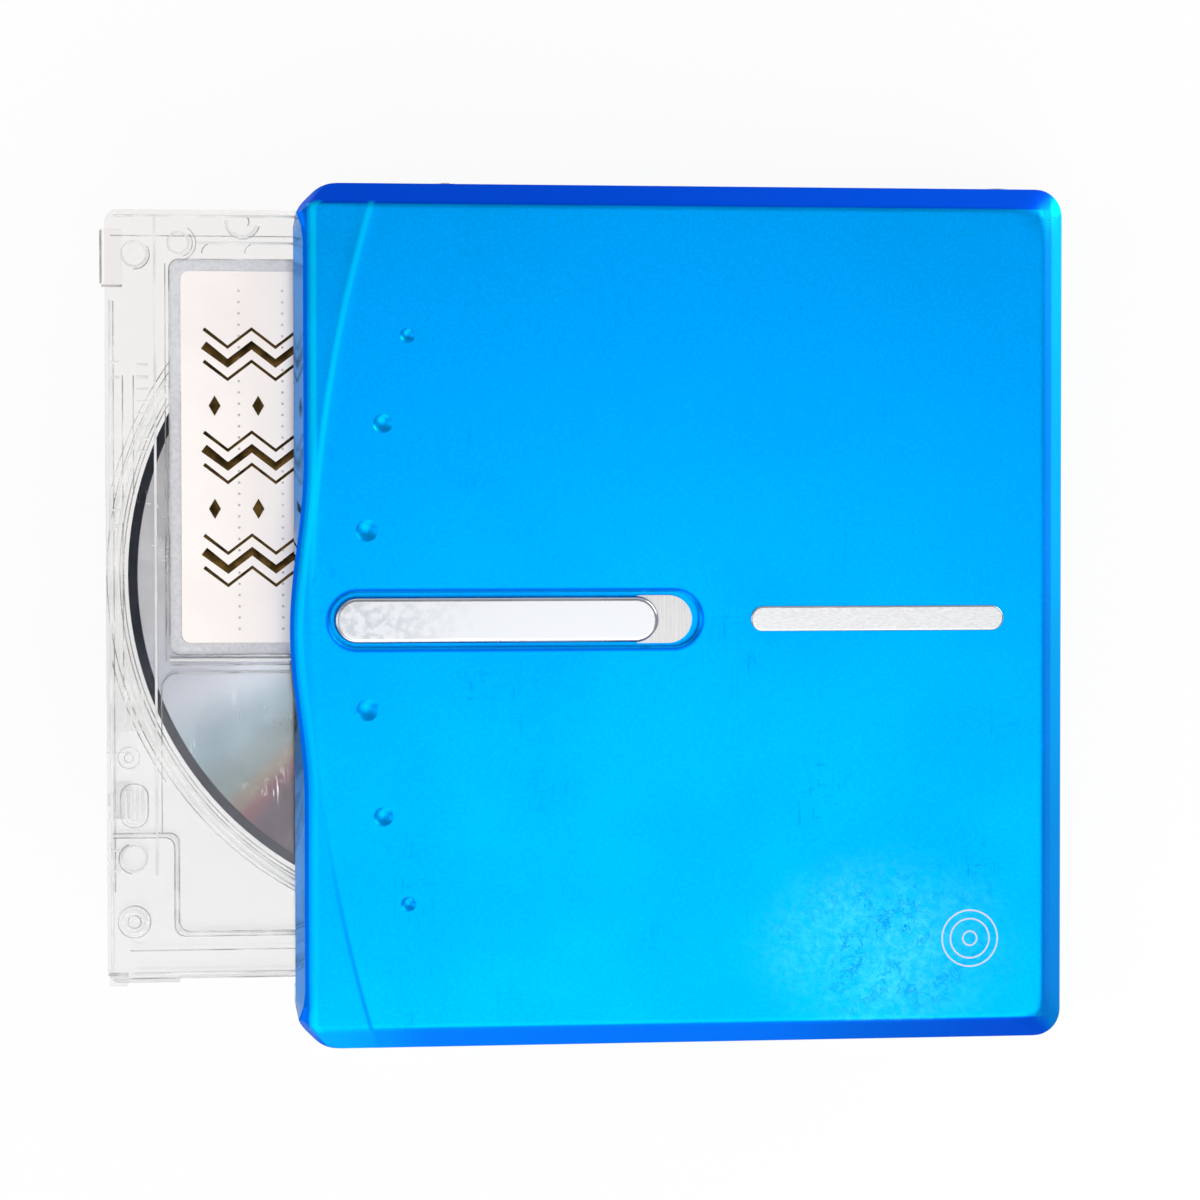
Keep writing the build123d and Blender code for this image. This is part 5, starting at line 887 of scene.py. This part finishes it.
def top_height(x, y):
    """The height of the lid's top: flat, creased along the arc, rolled off at the slot and the edges."""
    past_arc = math.hypot(x - (FRONT + ARC_START + ARC_RADIUS), y - MIDDLE) - ARC_RADIUS
    crest = CREST * math.exp(-((past_arc / CREST_HALF) ** 2))
    rolled = max(ROLL_WIDTH - (x - slot_edge(y) - strip_width(y)), 0.0) / ROLL_WIDTH
    facet = SLOPE * soft_ramp(past_arc, SOFTNESS) + ROLL_DROP * rolled**2 - crest
    edge = EDGE_DROP / EDGE_WIDTH * soft_ramp(EDGE_WIDTH - inside_by(x, y), SOFTNESS)
    return LID_TOP - max(facet, edge) - 0.25 * min(facet, edge)


def steps_from_edge(length, fine=0.2, fine_reach=2.8, coarse=1.3):
    """Distances from an edge: close together near it, wider towards the middle."""
    places, at = [], 0.0
    while at < fine_reach:
        places.append(at)
        at += fine if at >= fine else fine / 4
    while at < length:
        places.append(at)
        at += coarse
    return places


def lid_rows():
    """The rows' places along Y, with one at each end of the cartridge's mouth."""
    near = steps_from_edge(SIDE)
    rows = [-SIDE + d for d in near] + [SIDE - d for d in near] + [0.0, *MOUTH]
    rows = sorted(rows)
    kept = [rows[0]]
    for y in rows[1:]:
        if y in MOUTH:
            if y - kept[-1] < 0.04:
                kept.pop()
            kept.append(y)
        elif y - kept[-1] > 0.04 or y >= SIDE:
            kept.append(y)
    return kept


def lid_columns():
    """Each column as (part, share): 0 from the slot edge to the arc, 1 from the arc to the hinge edge."""
    slope = [(0, share) for share in SLOPE_SHARES]
    length = BACK - FRONT - ARC_START
    near = [d / length for d in steps_from_edge(length / 2)]
    flat = sorted([(1, share) for share in near] + [(1, 1 - share) for share in near])
    return slope + flat


def lid_block():
    """The lid as a solid block: its sculpted top, the polished strip and upright walls."""
    rows, columns = lid_rows(), lid_columns()
    shape = bmesh.new()
    across, along = len(columns) - 1, len(rows) - 1
    bmesh.ops.create_grid(shape, x_segments=across, y_segments=along, size=0.5)
    for vert in shape.verts:
        y = rows[round((vert.co.y + 0.5) * along)]
        part, share = columns[round((vert.co.x + 0.5) * across)]
        x_slot = slot_edge(y) + strip_width(y)
        x_arc = max(arc_edge(y), x_slot + 0.3)
        x = x_slot + share * (x_arc - x_slot) if part == 0 else x_arc + share * (hinge_edge(y) - x_arc)
        vert.co = to_metres(x, y, top_height(x, y))
    made = bmesh.ops.extrude_edge_only(shape, edges=[e for e in shape.edges if e.is_boundary])["geom"]
    for vert in (v for v in made if isinstance(v, bmesh.types.BMVert)):
        x, y = vert.co.x / MM, vert.co.y / MM
        at_slot = x < slot_edge(y) + strip_width(y) + 0.01 and abs(y) < SIDE - CORNER_CUT
        vert.co = to_metres(slot_edge(y) if at_slot else x, y, vert.co.z / MM - STRIP_DROP)
    for face in (f for f in made if isinstance(f, bmesh.types.BMFace)):
        middle = face.calc_center_median() / MM
        if middle.x < slot_edge(middle.y) + STRIP_WIDTH and abs(middle.y) < SIDE - CORNER_CUT:
            face.material_index = 1
    made = bmesh.ops.extrude_edge_only(shape, edges=[e for e in shape.edges if e.is_boundary])["geom"]
    for vert in (v for v in made if isinstance(v, bmesh.types.BMVert)):
        vert.co.z = RIM_Z * MM
    bmesh.ops.holes_fill(shape, edges=[e for e in shape.edges if e.is_boundary], sides=0)
    turned_outward(shape)
    return as_mesh(shape)


def lid_shell():
    block = lid_block()
    cavity = block.copy()
    narrower = Matrix.Diagonal((1 - LID_WALL / BACK, 1 - LID_WALL / SIDE, 1, 1))
    cavity.transform(Matrix.Translation(to_metres(0, 0, -LID_WALL)) @ narrower)
    shell = with_boolean(block, cavity, "DIFFERENCE")
    shell = with_boolean(shell, trough_pan(), "UNION")
    shell = with_boolean(shell, lid_cutters(), "DIFFERENCE")
    return with_boolean(shell, lid_second_cutters(), "DIFFERENCE")


def trough_pan():
    """The thicker part of the lid round the slider's trough, and the seat of the slider's spring."""
    x0, length, width = TROUGH
    shape = bmesh.new()
    more = 2 * PAN_MARGIN
    pan = stadium_outline(x0 - PAN_MARGIN, MIDDLE, length + more, width + more)
    prism(shape, pan, PAN_Z, LID_TOP - 0.4)
    x, y, half = SPRING_SEAT
    prism(shape, box_outline(x - half, x + half, y - half, y + half), *SPRING_SEAT_Z)
    turned_outward(shape)
    return as_mesh(shape)


def lid_cutters():
    """The trough, the cartridge's mouth, the dimples and the seats of the side screws."""
    x0, length, width = TROUGH
    shape = bmesh.new()
    near, far = MOUTH
    prism(shape, box_outline(FRONT - 2, FRONT + 2, near, far), RIM_Z - 1, MOUTH_Z)
    prism(shape, stadium_outline(x0, MIDDLE, length, width, 24), TROUGH_FLOOR_Z, LID_TOP + 1)
    for offset, start, radius in DIMPLES:
        ball = (radius**2 + DIMPLE_DEPTH**2) / (2 * DIMPLE_DEPTH)
        for side in (-1, 1):
            x, y = FRONT + start, MIDDLE + side * offset
            middle = to_metres(x, y, top_height(x, y) + ball - DIMPLE_DEPTH)
            bmesh.ops.create_uvsphere(
                shape, u_segments=48, v_segments=32, radius=ball * MM, matrix=Matrix.Translation(middle)
            )
    screw_bores(shape, *SCREW_SEAT)
    turned_outward(shape)
    return as_mesh(shape)


def lid_second_cutters():
    """The trough's flared lip, the slots for the slider's posts and the bores for the side screws."""
    x0, length, width = TROUGH
    shape = bmesh.new()
    low = stadium_outline(x0 + 0.05, MIDDLE, length - 0.1, width - 0.1, 24)
    lip = 2 * TROUGH_LIP
    high = stadium_outline(x0 - TROUGH_LIP, MIDDLE, length + lip, width + lip, 24)
    prism(shape, low, LID_TOP - LIP_DROP, LID_TOP + 0.03, high)
    for x in SLIDER_POSTS:
        x0, x1 = x - POST_HALF - POST_PLAY, x + POST_HALF + POST_PLAY + SLIDER_TRAVEL
        y0, y1 = MIDDLE - POST_HALF - POST_PLAY, MIDDLE + POST_HALF + POST_PLAY
        prism(shape, box_outline(x0, x1, y0, y1), PAN_Z - 0.3, TROUGH_FLOOR_Z + 0.2)
    screw_bores(shape, *SCREW_BORE)
    turned_outward(shape)
    return as_mesh(shape)


def screw_bores(shape, radius, depth):
    """A bore at each screw in the lid's sides."""
    turn = Matrix.Rotation(math.radians(90), 4, "X")
    for start, side in SIDE_SCREWS:
        seat = Matrix.Translation(to_metres(FRONT + start, side * (SIDE + 0.2), SIDE_SCREW_Z))
        sizes = {"radius1": radius * MM, "radius2": radius * MM, "depth": depth * MM}
        bmesh.ops.create_cone(shape, cap_ends=True, segments=32, matrix=seat @ turn, **sizes)


lid_mesh = lid_shell()
lid_mesh.transform(LID_PLACE)
lid_finish = [lid_blue(), mirror_blue()]
lid_piece = finished_mesh("lid_shell", lid_mesh, lid_finish, "lid", smooth_angle=19.0)
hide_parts("lid_cover")


# ------------------------------------------------------------ the slider and the nameplate
BAR = (FRONT + 3.7, 30.4, 4.3)
BAR_Z = (15.35, 16.25)
BAR_BEVEL = 0.4
INSET = 0.04
CAP_NOTCH = 5.95
CAP_TOP_Z = 15.72
LATCH_Z = 14.6
POST_BORE_RADIUS = 0.36
POST_BORE_DEPTH = 2.0
NAMEPLATE = (FRONT + 42.8, 24.3, 2.4)
NAMEPLATE_THICKNESS = 0.2


def bevelled_bar(outline, z0, z1, width, segments=1):
    """A bar whose top edge is broken by a bevel; the bevel's faces take the second finish.

    A hair-thin inset inside the bevel keeps the shading of the flat top flat.
    """
    shape = bmesh.new()
    top = prism(shape, outline, z0, z1)
    turned_outward(shape)
    bmesh.ops.bevel(
        shape,
        geom=list(top.edges),
        offset=width * MM,
        segments=segments,
        profile=0.5,
        affect="EDGES",
        material=1,
    )
    flat = max(shape.faces, key=lambda face: face.calc_area() if face.normal.z > 0.99 else 0.0)
    bmesh.ops.inset_region(shape, faces=[flat], thickness=INSET * MM)
    return shape


def slider_bar():
    x0, length, width = BAR
    bar = as_mesh(bevelled_bar(stadium_outline(x0, MIDDLE, length, width, 24), *BAR_Z, BAR_BEVEL, 4))
    posts = bmesh.new()
    for x in SLIDER_POSTS:
        x0, x1, y0, y1 = x - POST_HALF, x + POST_HALF, MIDDLE - POST_HALF, MIDDLE + POST_HALF
        prism(posts, box_outline(x0, x1, y0, y1), LATCH_Z, BAR_Z[0] + 0.3)
    turned_outward(posts)
    bar = with_boolean(bar, as_mesh(posts), "UNION")
    cutter = bmesh.new()
    x0 = BAR[0] + BAR[1] - CAP_NOTCH
    prism(cutter, box_outline(x0, x0 + 9, -4, 4), 15, CAP_TOP_Z)
    for x in SLIDER_POSTS:
        bmesh.ops.create_cone(
            cutter,
            cap_ends=True,
            segments=20,
            radius1=POST_BORE_RADIUS * MM,
            radius2=POST_BORE_RADIUS * MM,
            depth=POST_BORE_DEPTH * MM,
            matrix=Matrix.Translation(to_metres(x, MIDDLE, LATCH_Z + 0.05)),
        )
    turned_outward(cutter)
    return with_boolean(bar, as_mesh(cutter), "DIFFERENCE")


bar_mesh = slider_bar()
bar_mesh.transform(LID_PLACE)
bar_finish = [mottled_silver(), FINISHES["polished_silver"]]
slider_piece = finished_mesh("slider_bar", bar_mesh, bar_finish, "slider", 30.0)
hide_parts("open_slider")

x0, length, width = NAMEPLATE
plate_shape = bevelled_bar(
    stadium_outline(x0, MIDDLE, length, width, 16), LID_TOP - 0.05, LID_TOP + NAMEPLATE_THICKNESS, 0.16, 3
)
plate_piece = finished(
    "nameplate_bar",
    plate_shape,
    [brushed("plate_silver", (0.7, 0.705, 0.72), 0.4, "X", 0.1), FINISHES["polished_silver"]],
    "lid",
    LID_PLACE,
    30.0,
)
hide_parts("nameplate")


# ------------------------------------------------------------ the cartridge's moulded lines, drawn as painted shade and painted highlights
SHELL_TOP = 13.6
RECESS_Z = 13.44
LEFT_EDGE = -34.5
BORDER = (-28.6, 25.6, -5.4, 31.4)
LABEL = (-27.5, 24.5, -4.3, 30.3)
LABEL_TOP = 13.54
CAVITY_RADIUS = 32.7
RIB_RADIUS = 33.9
CAVITY_ARC = (149.8, 262)
RIB_ARC = (146.2, 262)
DOT_RADIUS = 0.13
DOT_STEP = 1.05
DOT_ROWS = (-22.15, -18.1, -14.0, -9.9)
DOT_SPAN = (-3.0, 28.8)
HALF_GAP = 0.02
TAB_FOOT_Z = 9.4
FOIL_ROWS = (22.6, 13.0, 3.4)
FOIL_SPAN = (-25.4, -3.2)
FOIL_STEP = 2.22
FOIL_RISE = 1.7
FOIL_WIDTHS = [(0.0, 0.42), (1.5, 0.17), (-1.5, 0.17)]
LOZENGE = (0.55, 0.95)


def arc_points(middle, radius, start, end, step=3.0):
    """Points along an arc, its angles in degrees."""
    count = max(int(abs(end - start) / step), 2)
    turns = [math.radians(start + (end - start) * k / count) for k in range(count + 1)]
    return [(middle[0] + radius * math.cos(turn), middle[1] + radius * math.sin(turn)) for turn in turns]


def moulded_lines(name, finish, paths, radius, z, body="cartridge", squash=0.5):
    """Round-topped ribs laid along paths, half sunk into the face they stand on."""
    curve = bpy.data.curves.new(name, "CURVE")
    curve.dimensions = "3D"
    curve.bevel_depth = radius * MM
    curve.bevel_resolution = 2
    curve.use_fill_caps = True
    for points, closed in paths:
        line = curve.splines.new("POLY")
        line.points.add(len(points) - 1)
        for point, (x, y) in zip(line.points, points):
            point.co = (x * MM, y * MM, 0.0, 1.0)
        line.use_cyclic_u = closed
    maker = bpy.data.objects.new("work", curve)
    bpy.context.scene.collection.objects.link(maker)
    bpy.context.view_layer.update()
    mesh = bpy.data.meshes.new_from_object(maker.evaluated_get(bpy.context.evaluated_depsgraph_get()))
    bpy.data.objects.remove(maker)
    mesh.materials.clear()
    mesh.transform(Matrix.Translation(to_metres(0, 0, z)) @ Matrix.Diagonal((1, 1, squash, 1)))
    mesh.transform(CARTRIDGE_PLACE)
    return finished_mesh(name, mesh, finish, body, smooth_angle=50.0)


def ring(x, y, radius):
    return arc_points((x, y), radius, 0, 351, 9.0), True


def upright(x, y0, y1):
    return [(x, y0), (x, y1)], False


def level(y, x0, x1):
    return [(x0, y), (x1, y)], False


def frame_path(inset):
    """The rounded rib that steps down round the corner boss."""
    x, y = -28.25 + inset, -22.45 + inset
    first = arc_points((x - 0.9, y - 0.9), 0.9, 90, 0, 15)
    second = arc_points((x + 1.0, -30.7 + inset), 1.0, 180, 270, 15)
    return [(LEFT_EDGE + 0.5, y), *first, *second, (22.0, -31.7 + inset)], False


def panel_path(inset):
    """The thin line under the label that turns down along the long rib."""
    corner = arc_points((-27.9 + inset, -8.6 - inset), 1.5, 90, 180, 15)
    return [(24.0, -7.1 - inset), *corner, (-29.4 + inset, -22.0)], False


# The lines on the case's top: thin dark lines of painted shade along the ribs' edges and round the bosses,
# pale lines of painted highlight on the ribs' rounded tops, and the grip's short ribs in the pale painted
# highlight.
rib_shade_lines = [
    (arc_points(DISC_AT, RIB_RADIUS, *RIB_ARC, 2.0), False),
    (arc_points(DISC_AT, RIB_RADIUS + 0.5, 144.6, 166, 2.0), False),
    (arc_points(DISC_AT, RIB_RADIUS + 0.5, 193, 214, 2.0), False),
    (arc_points(DISC_AT, CAVITY_RADIUS, *CAVITY_ARC, 2.0), False),
    frame_path(0.0),
    frame_path(0.42),
    panel_path(0.0),
    level(-33.0, -32.4, 30.0),
    level(-35.6, -32.4, 30.0),
    level(-6.35, -28.4, 25.0),
    upright(-28.95, -6.0, 31.0),
    (rounded_outline(*BORDER, 0.9), True),
    upright(-33.75, -27.5, 27.5),
    upright(-32.9, 8.4, 20.6),
    upright(-32.9, -8.4, 6.9),
    upright(-31.9, 9.6, 20.6),
    level(33.55, -34.0, 30.0),
    (arc_points((-31.75, 31.85), 1.38, -95, 35, 9.0), False),
    (arc_points((-27.7, 32.9), 1.62, -75, 60, 9.0), False),
    (arc_points((-27.7, 32.9), 1.3, -70, 40, 9.0), False),
    (arc_points((-21.75, 34.9), 1.6, 175, 345, 10.0), False),
    (arc_points((-21.75, 34.9), 0.6, -40, 50, 14.0), False),
    (arc_points((-24.6, 31.95), 0.95, 110, 180, 12.0), False),
    (arc_points((-20.6, 31.95), 0.95, 100, 180, 12.0), False),
    (arc_points((-32.0, -24.4), 1.42, 110, 260, 12.0), False),
    ring(-32.0, -30.3, 1.5),
    ring(-32.0, -30.3, 0.6),
    ring(-32.45, -14.98, 1.0),
    ring(-32.45, -14.98, 0.42),
    (rounded_outline(-33.25, -30.7, -21.5, -17.4, 1.2), True),
    (arc_points(DISC_AT, 32.36, 150.4, 262, 2.0), False),
]
# Pale lines of painted highlight on the ribs' rounded tops.
rib_highlight_lines = [
    upright(-29.9, -26.0, 35.6),
    upright(-34.05, -35.0, 27.6),
    level(-5.85, -28.6, 25.4),
    (arc_points(DISC_AT, RIB_RADIUS - 0.3, 147.2, 262, 2.0), False),
    (arc_points(DISC_AT, CAVITY_RADIUS + 0.35, 149.2, 262, 2.0), False),
    frame_path(0.21),
    level(35.4, -33.8, 30.0),
    level(32.9, -26.0, 30.0),
    level(-35.15, -32.0, 30.0),
    ring(-31.75, 31.85, 1.15),
    ring(-27.7, 32.9, 0.98),
    (arc_points((-21.75, 34.9), 1.35, 175, 345, 10.0), False),
    ring(-32.0, -24.4, 1.2),
    ring(-32.0, -30.3, 1.05),
]
# The grip's short ribs take the pale finish, a painted highlight on each rib.
grip_ribs = [upright(-32.75 + 0.52 * k, -20.9, -18.0) for k in range(4)]
grip_ribs += [upright(-32.75 + 0.52 * k, -12.5, -8.7) for k in range(4)]
grip_ribs += [level(y, -34.0, -33.2) for y in (-25.5, -23.6, 8.1, 6.6, 20.4, 21.8)]
grip_ribs += [level(21.6 - 1.15 * k, -31.6, -30.5) for k in range(8)]


def clear_half(name, node_name, lift):
    """One half of the clear case, drawn a hair clear of the other so that light passes between."""
    shape = bmesh.new()
    shape.from_mesh(nodes[node_name].data)
    bmesh.ops.remove_doubles(shape, verts=shape.verts[:], dist=0.001 * MM)
    shape.transform(CARTRIDGE_PLACE.inverted())
    parting = [vert for vert in shape.verts if abs(vert.co.z - PARTING_Z * MM) < 0.01 * MM]
    bmesh.ops.translate(shape, verts=parting, vec=to_metres(0, 0, lift))
    clear = FINISHES["clear_plastic"]
    piece = finished(name, shape, clear, "cartridge", CARTRIDGE_PLACE)
    piece.data.shade_flat()
    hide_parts(node_name)


clear_half("case_upper_half", "cartridge_upper_shell", HALF_GAP)
clear_half("case_lower_half", "cartridge_lower_shell", -HALF_GAP)

RIB_SHADE_FINISH = painted_rib_shade()
RIB_HIGHLIGHT_FINISH = painted_rib_highlight()
moulded_lines("cartridge_rib_edge_shade_lines", RIB_SHADE_FINISH, rib_shade_lines, 0.055, SHELL_TOP)
moulded_lines("cartridge_rib_top_highlights", RIB_HIGHLIGHT_FINISH, rib_highlight_lines, 0.12, SHELL_TOP)
moulded_lines("cartridge_grip_ribs", RIB_HIGHLIGHT_FINISH, grip_ribs, 0.14, SHELL_TOP)


# ------------------------------------------------------------ the edge tab and the foot
def corner_tab():
    """The tab at the case's far corner and the small foot at its near one."""
    shape = bmesh.new()
    tab = rounded_outline(LEFT_EDGE - 0.4, LEFT_EDGE + 1.6, 28.95, 34.2, 0.18)
    prism(shape, tab, TAB_FOOT_Z, SHELL_TOP + 0.03)
    foot = rounded_outline(LEFT_EDGE + 0.1, LEFT_EDGE + 1.9, -36.35, -35.4, 0.2)
    prism(shape, foot, TAB_FOOT_Z, SHELL_TOP - 0.5)
    turned_outward(shape)
    return shape


finished("cartridge_corner_tab", corner_tab(), FINISHES["clear_plastic"], "cartridge", CARTRIDGE_PLACE)
# Thin dark lines of painted shade along the tab's edges.
tab_shade_lines = [upright(LEFT_EDGE - 0.36, 29.1, 34.05), level(28.9, LEFT_EDGE - 0.3, LEFT_EDGE + 1.6)]
moulded_lines("cartridge_tab_shade_lines", RIB_SHADE_FINISH, tab_shade_lines, 0.1, SHELL_TOP + 0.03)


# ------------------------------------------------------------ the label
def label_border():
    """The blasted border in the bottom of the label's recess."""
    outer, inner = bmesh.new(), bmesh.new()
    prism(outer, rounded_outline(*BORDER, 1.0), RECESS_Z + 0.005, RECESS_Z + 0.05)
    turned_outward(outer)
    x0, x1, y0, y1 = LABEL
    gap = 0.02
    hole = rounded_outline(x0 - gap, x1 + gap, y0 - gap, y1 + gap, 0.75)
    prism(inner, hole, RECESS_Z - 1, RECESS_Z + 1)
    turned_outward(inner)
    mesh = with_boolean(as_mesh(outer), as_mesh(inner), "DIFFERENCE")
    mesh.transform(CARTRIDGE_PLACE)
    return finished_mesh("label_border", mesh, frosted_shell(), "cartridge")


def label_dots():
    """The dotted writing lines."""
    shape = bmesh.new()
    y0, y1 = DOT_SPAN
    for x in DOT_ROWS:
        for k in range(int((y1 - y0) / DOT_STEP) + 1):
            at = Matrix.Translation(to_metres(x, y0 + k * DOT_STEP, LABEL_TOP + 0.004))
            bmesh.ops.create_cone(
                shape,
                cap_ends=True,
                segments=8,
                radius1=DOT_RADIUS * MM,
                radius2=DOT_RADIUS * MM,
                depth=0.012 * MM,
                matrix=at,
            )
    return finished("label_dots", shape, printed_grey(), "cartridge", CARTRIDGE_PLACE)


def zigzag(y):
    """A line that goes up and down in even steps along the label."""
    x0, x1 = FOIL_SPAN
    steps = round((x1 - x0) / FOIL_STEP)
    return [(x0 + (x1 - x0) * k / steps, y + (-1) ** k * FOIL_RISE / 2) for k in range(steps + 1)]


def foil_lozenges():
    """Small lozenges in two rows between the zigzags."""
    shape = bmesh.new()
    half_x, half_y = LOZENGE
    x0, x1 = FOIL_SPAN
    for upper, lower in zip(FOIL_ROWS, FOIL_ROWS[1:]):
        y = (upper + lower) / 2
        for k in range(6):
            x = x0 + 1.0 + k * (x1 - x0 - 2.0) / 5
            points = [(x - half_x, y), (x, y - half_y), (x + half_x, y), (x, y + half_y)]
            prism(shape, points, LABEL_TOP - 0.01, LABEL_TOP + 0.03)
    turned_outward(shape)
    return finished("label_foil_lozenges", shape, FOIL, "cartridge", CARTRIDGE_PLACE)


label_border()
label_dots()
FOIL = gold_foil()
for number, (off, half_width) in enumerate(FOIL_WIDTHS, 1):
    lines = [(zigzag(y + off), False) for y in FOIL_ROWS]
    moulded_lines(f"label_foil_{number}", FOIL, lines, half_width, LABEL_TOP, squash=0.03 / half_width)
foil_lozenges()


# ------------------------------------------------------------ a plain ring mark on the lid
MARK_AT = (27.4, -30.8)
MARK_RINGS = [(2.75, 0.16), (1.95, 0.16), (0.75, 0.16)]


def lid_mark():
    """Three thin rings, the plain figure of a disc."""
    shape = bmesh.new()
    for radius, width in MARK_RINGS:
        loops = []
        for at in (radius, radius - width):
            place = Matrix.Translation(to_metres(*MARK_AT, LID_TOP + 0.005))
            made = bmesh.ops.create_circle(shape, segments=72, radius=at * MM, matrix=place)
            loops += {edge for vert in made["verts"] for edge in vert.link_edges}
        faces = bmesh.ops.bridge_loops(shape, edges=loops)["faces"]
        bmesh.ops.solidify(shape, geom=faces, thickness=0.02 * MM)
    turned_outward(shape)
    return finished("disc_mark", shape, moulded("printed_silver", (0.6, 0.66, 0.72), 0.4), "lid", LID_PLACE)


lid_mark()


# ------------------------------------------------------------ floor, light and camera
FLOOR_SIZE = 1.6
FLOOR_SHOWN = 0.9
AIR = 0.42
AIR_SHOWN = 0.98
LAMP_AIM = (0.0, 0.0, 20.0)
LAMPS = [
    ("right_soft_box", (190, -240, 520), (0.45, 0.55), 1.75),
    ("left_soft_box", (-520, 0, 330), (0.35, 0.9), 1.2),
    ("near_soft_box", (-160, -560, 330), (0.5, 0.35), 1.3),
    ("low_right_soft_box", (560, 340, 70), (0.45, 0.3), 2.8),
    ("far_soft_box", (40, 620, 200), (0.8, 0.3), 0.45),
]
CAMERA_AT = (12.587, 10.347, 350.0)
CAMERA_TURN = (-0.0270, 0.0576, -0.0009)
FOCAL_PIXELS = 3492.2
PICTURE_WIDTH = 1200
SENSOR = 36.0


def seen_rays(tree):
    """One for the rays that show a background: straight ones, mirrored ones and ones through glass."""
    path = node(tree, "LightPath")
    first = math_node(tree, "MAXIMUM", path.outputs["Is Camera Ray"], path.outputs["Is Glossy Ray"])
    return math_node(tree, "MAXIMUM", first, path.outputs["Is Transmission Ray"])


def white_floor():
    """A white paper sweep that shows as nearly white and keeps the shadow."""
    mesh = bpy.data.meshes.new("studio_floor")
    shape = bmesh.new()
    bmesh.ops.create_grid(shape, x_segments=2, y_segments=2, size=FLOOR_SIZE / 2)
    shape.to_mesh(mesh)
    shape.free()
    floor = bpy.data.objects.new("studio_floor", mesh)
    bpy.context.scene.collection.objects.link(floor)
    material = bpy.data.materials.new("white_paper_sweep")
    material.use_nodes = True
    tree = material.node_tree
    paper = tree.nodes["Principled BSDF"]
    paper.inputs["Base Color"].default_value = (0.9, 0.9, 0.9, 1)
    paper.inputs["Roughness"].default_value = 0.8
    glow = node(tree, "Emission")
    glow.inputs["Strength"].default_value = 1.0
    mix = node(tree, "MixShader")
    tree.links.new(math_node(tree, "MULTIPLY", seen_rays(tree), FLOOR_SHOWN), mix.inputs[0])
    tree.links.new(paper.outputs[0], mix.inputs[1])
    tree.links.new(glow.outputs[0], mix.inputs[2])
    tree.links.new(mix.outputs[0], tree.nodes["Material Output"].inputs["Surface"])
    mesh.materials.append(material)


def soft_box(name, at, size, power):
    """A square-fronted studio lamp, its place in millimetres, turned to the middle of the table."""
    lamp = bpy.data.lights.new(name, "AREA")
    lamp.shape = "RECTANGLE"
    lamp.size, lamp.size_y = size
    lamp.energy = power
    box = bpy.data.objects.new(name, lamp)
    box.location = to_metres(*at)
    towards = to_metres(*LAMP_AIM) - box.location
    box.rotation_euler = towards.to_track_quat("-Z", "Y").to_euler()
    bpy.context.scene.collection.objects.link(box)


def studio_air():
    """Soft light from all round, seen straight on as nearly white."""
    world = bpy.data.worlds.new("studio_air")
    world.use_nodes = True
    tree = world.node_tree
    air = tree.nodes["Background"]
    air.inputs["Color"].default_value = (1, 1, 1, 1)
    straight = node(tree, "LightPath").outputs["Is Camera Ray"]
    tree.links.new(ramp(tree, straight, 0.0, 1.0, AIR, AIR_SHOWN), air.inputs["Strength"])
    bpy.context.scene.world = world


white_floor()
studio_air()
for lamp in LAMPS:
    soft_box(*lamp)

lens = bpy.data.cameras.new("camera")
lens.sensor_width = SENSOR
lens.lens = FOCAL_PIXELS / PICTURE_WIDTH * SENSOR
lens.clip_start = 0.01
lens.clip_end = 10
camera = bpy.data.objects.new("camera", lens)
turn_x, turn_y, turn_z = CAMERA_TURN
turned = Matrix.Rotation(turn_z, 4, "Z") @ Matrix.Rotation(turn_y, 4, "Y") @ Matrix.Rotation(turn_x, 4, "X")
camera.matrix_world = Matrix.Translation(to_metres(*CAMERA_AT)) @ turned
bpy.context.scene.collection.objects.link(camera)
bpy.context.scene.camera = camera
bpy.context.scene.view_settings.view_transform = "Standard"
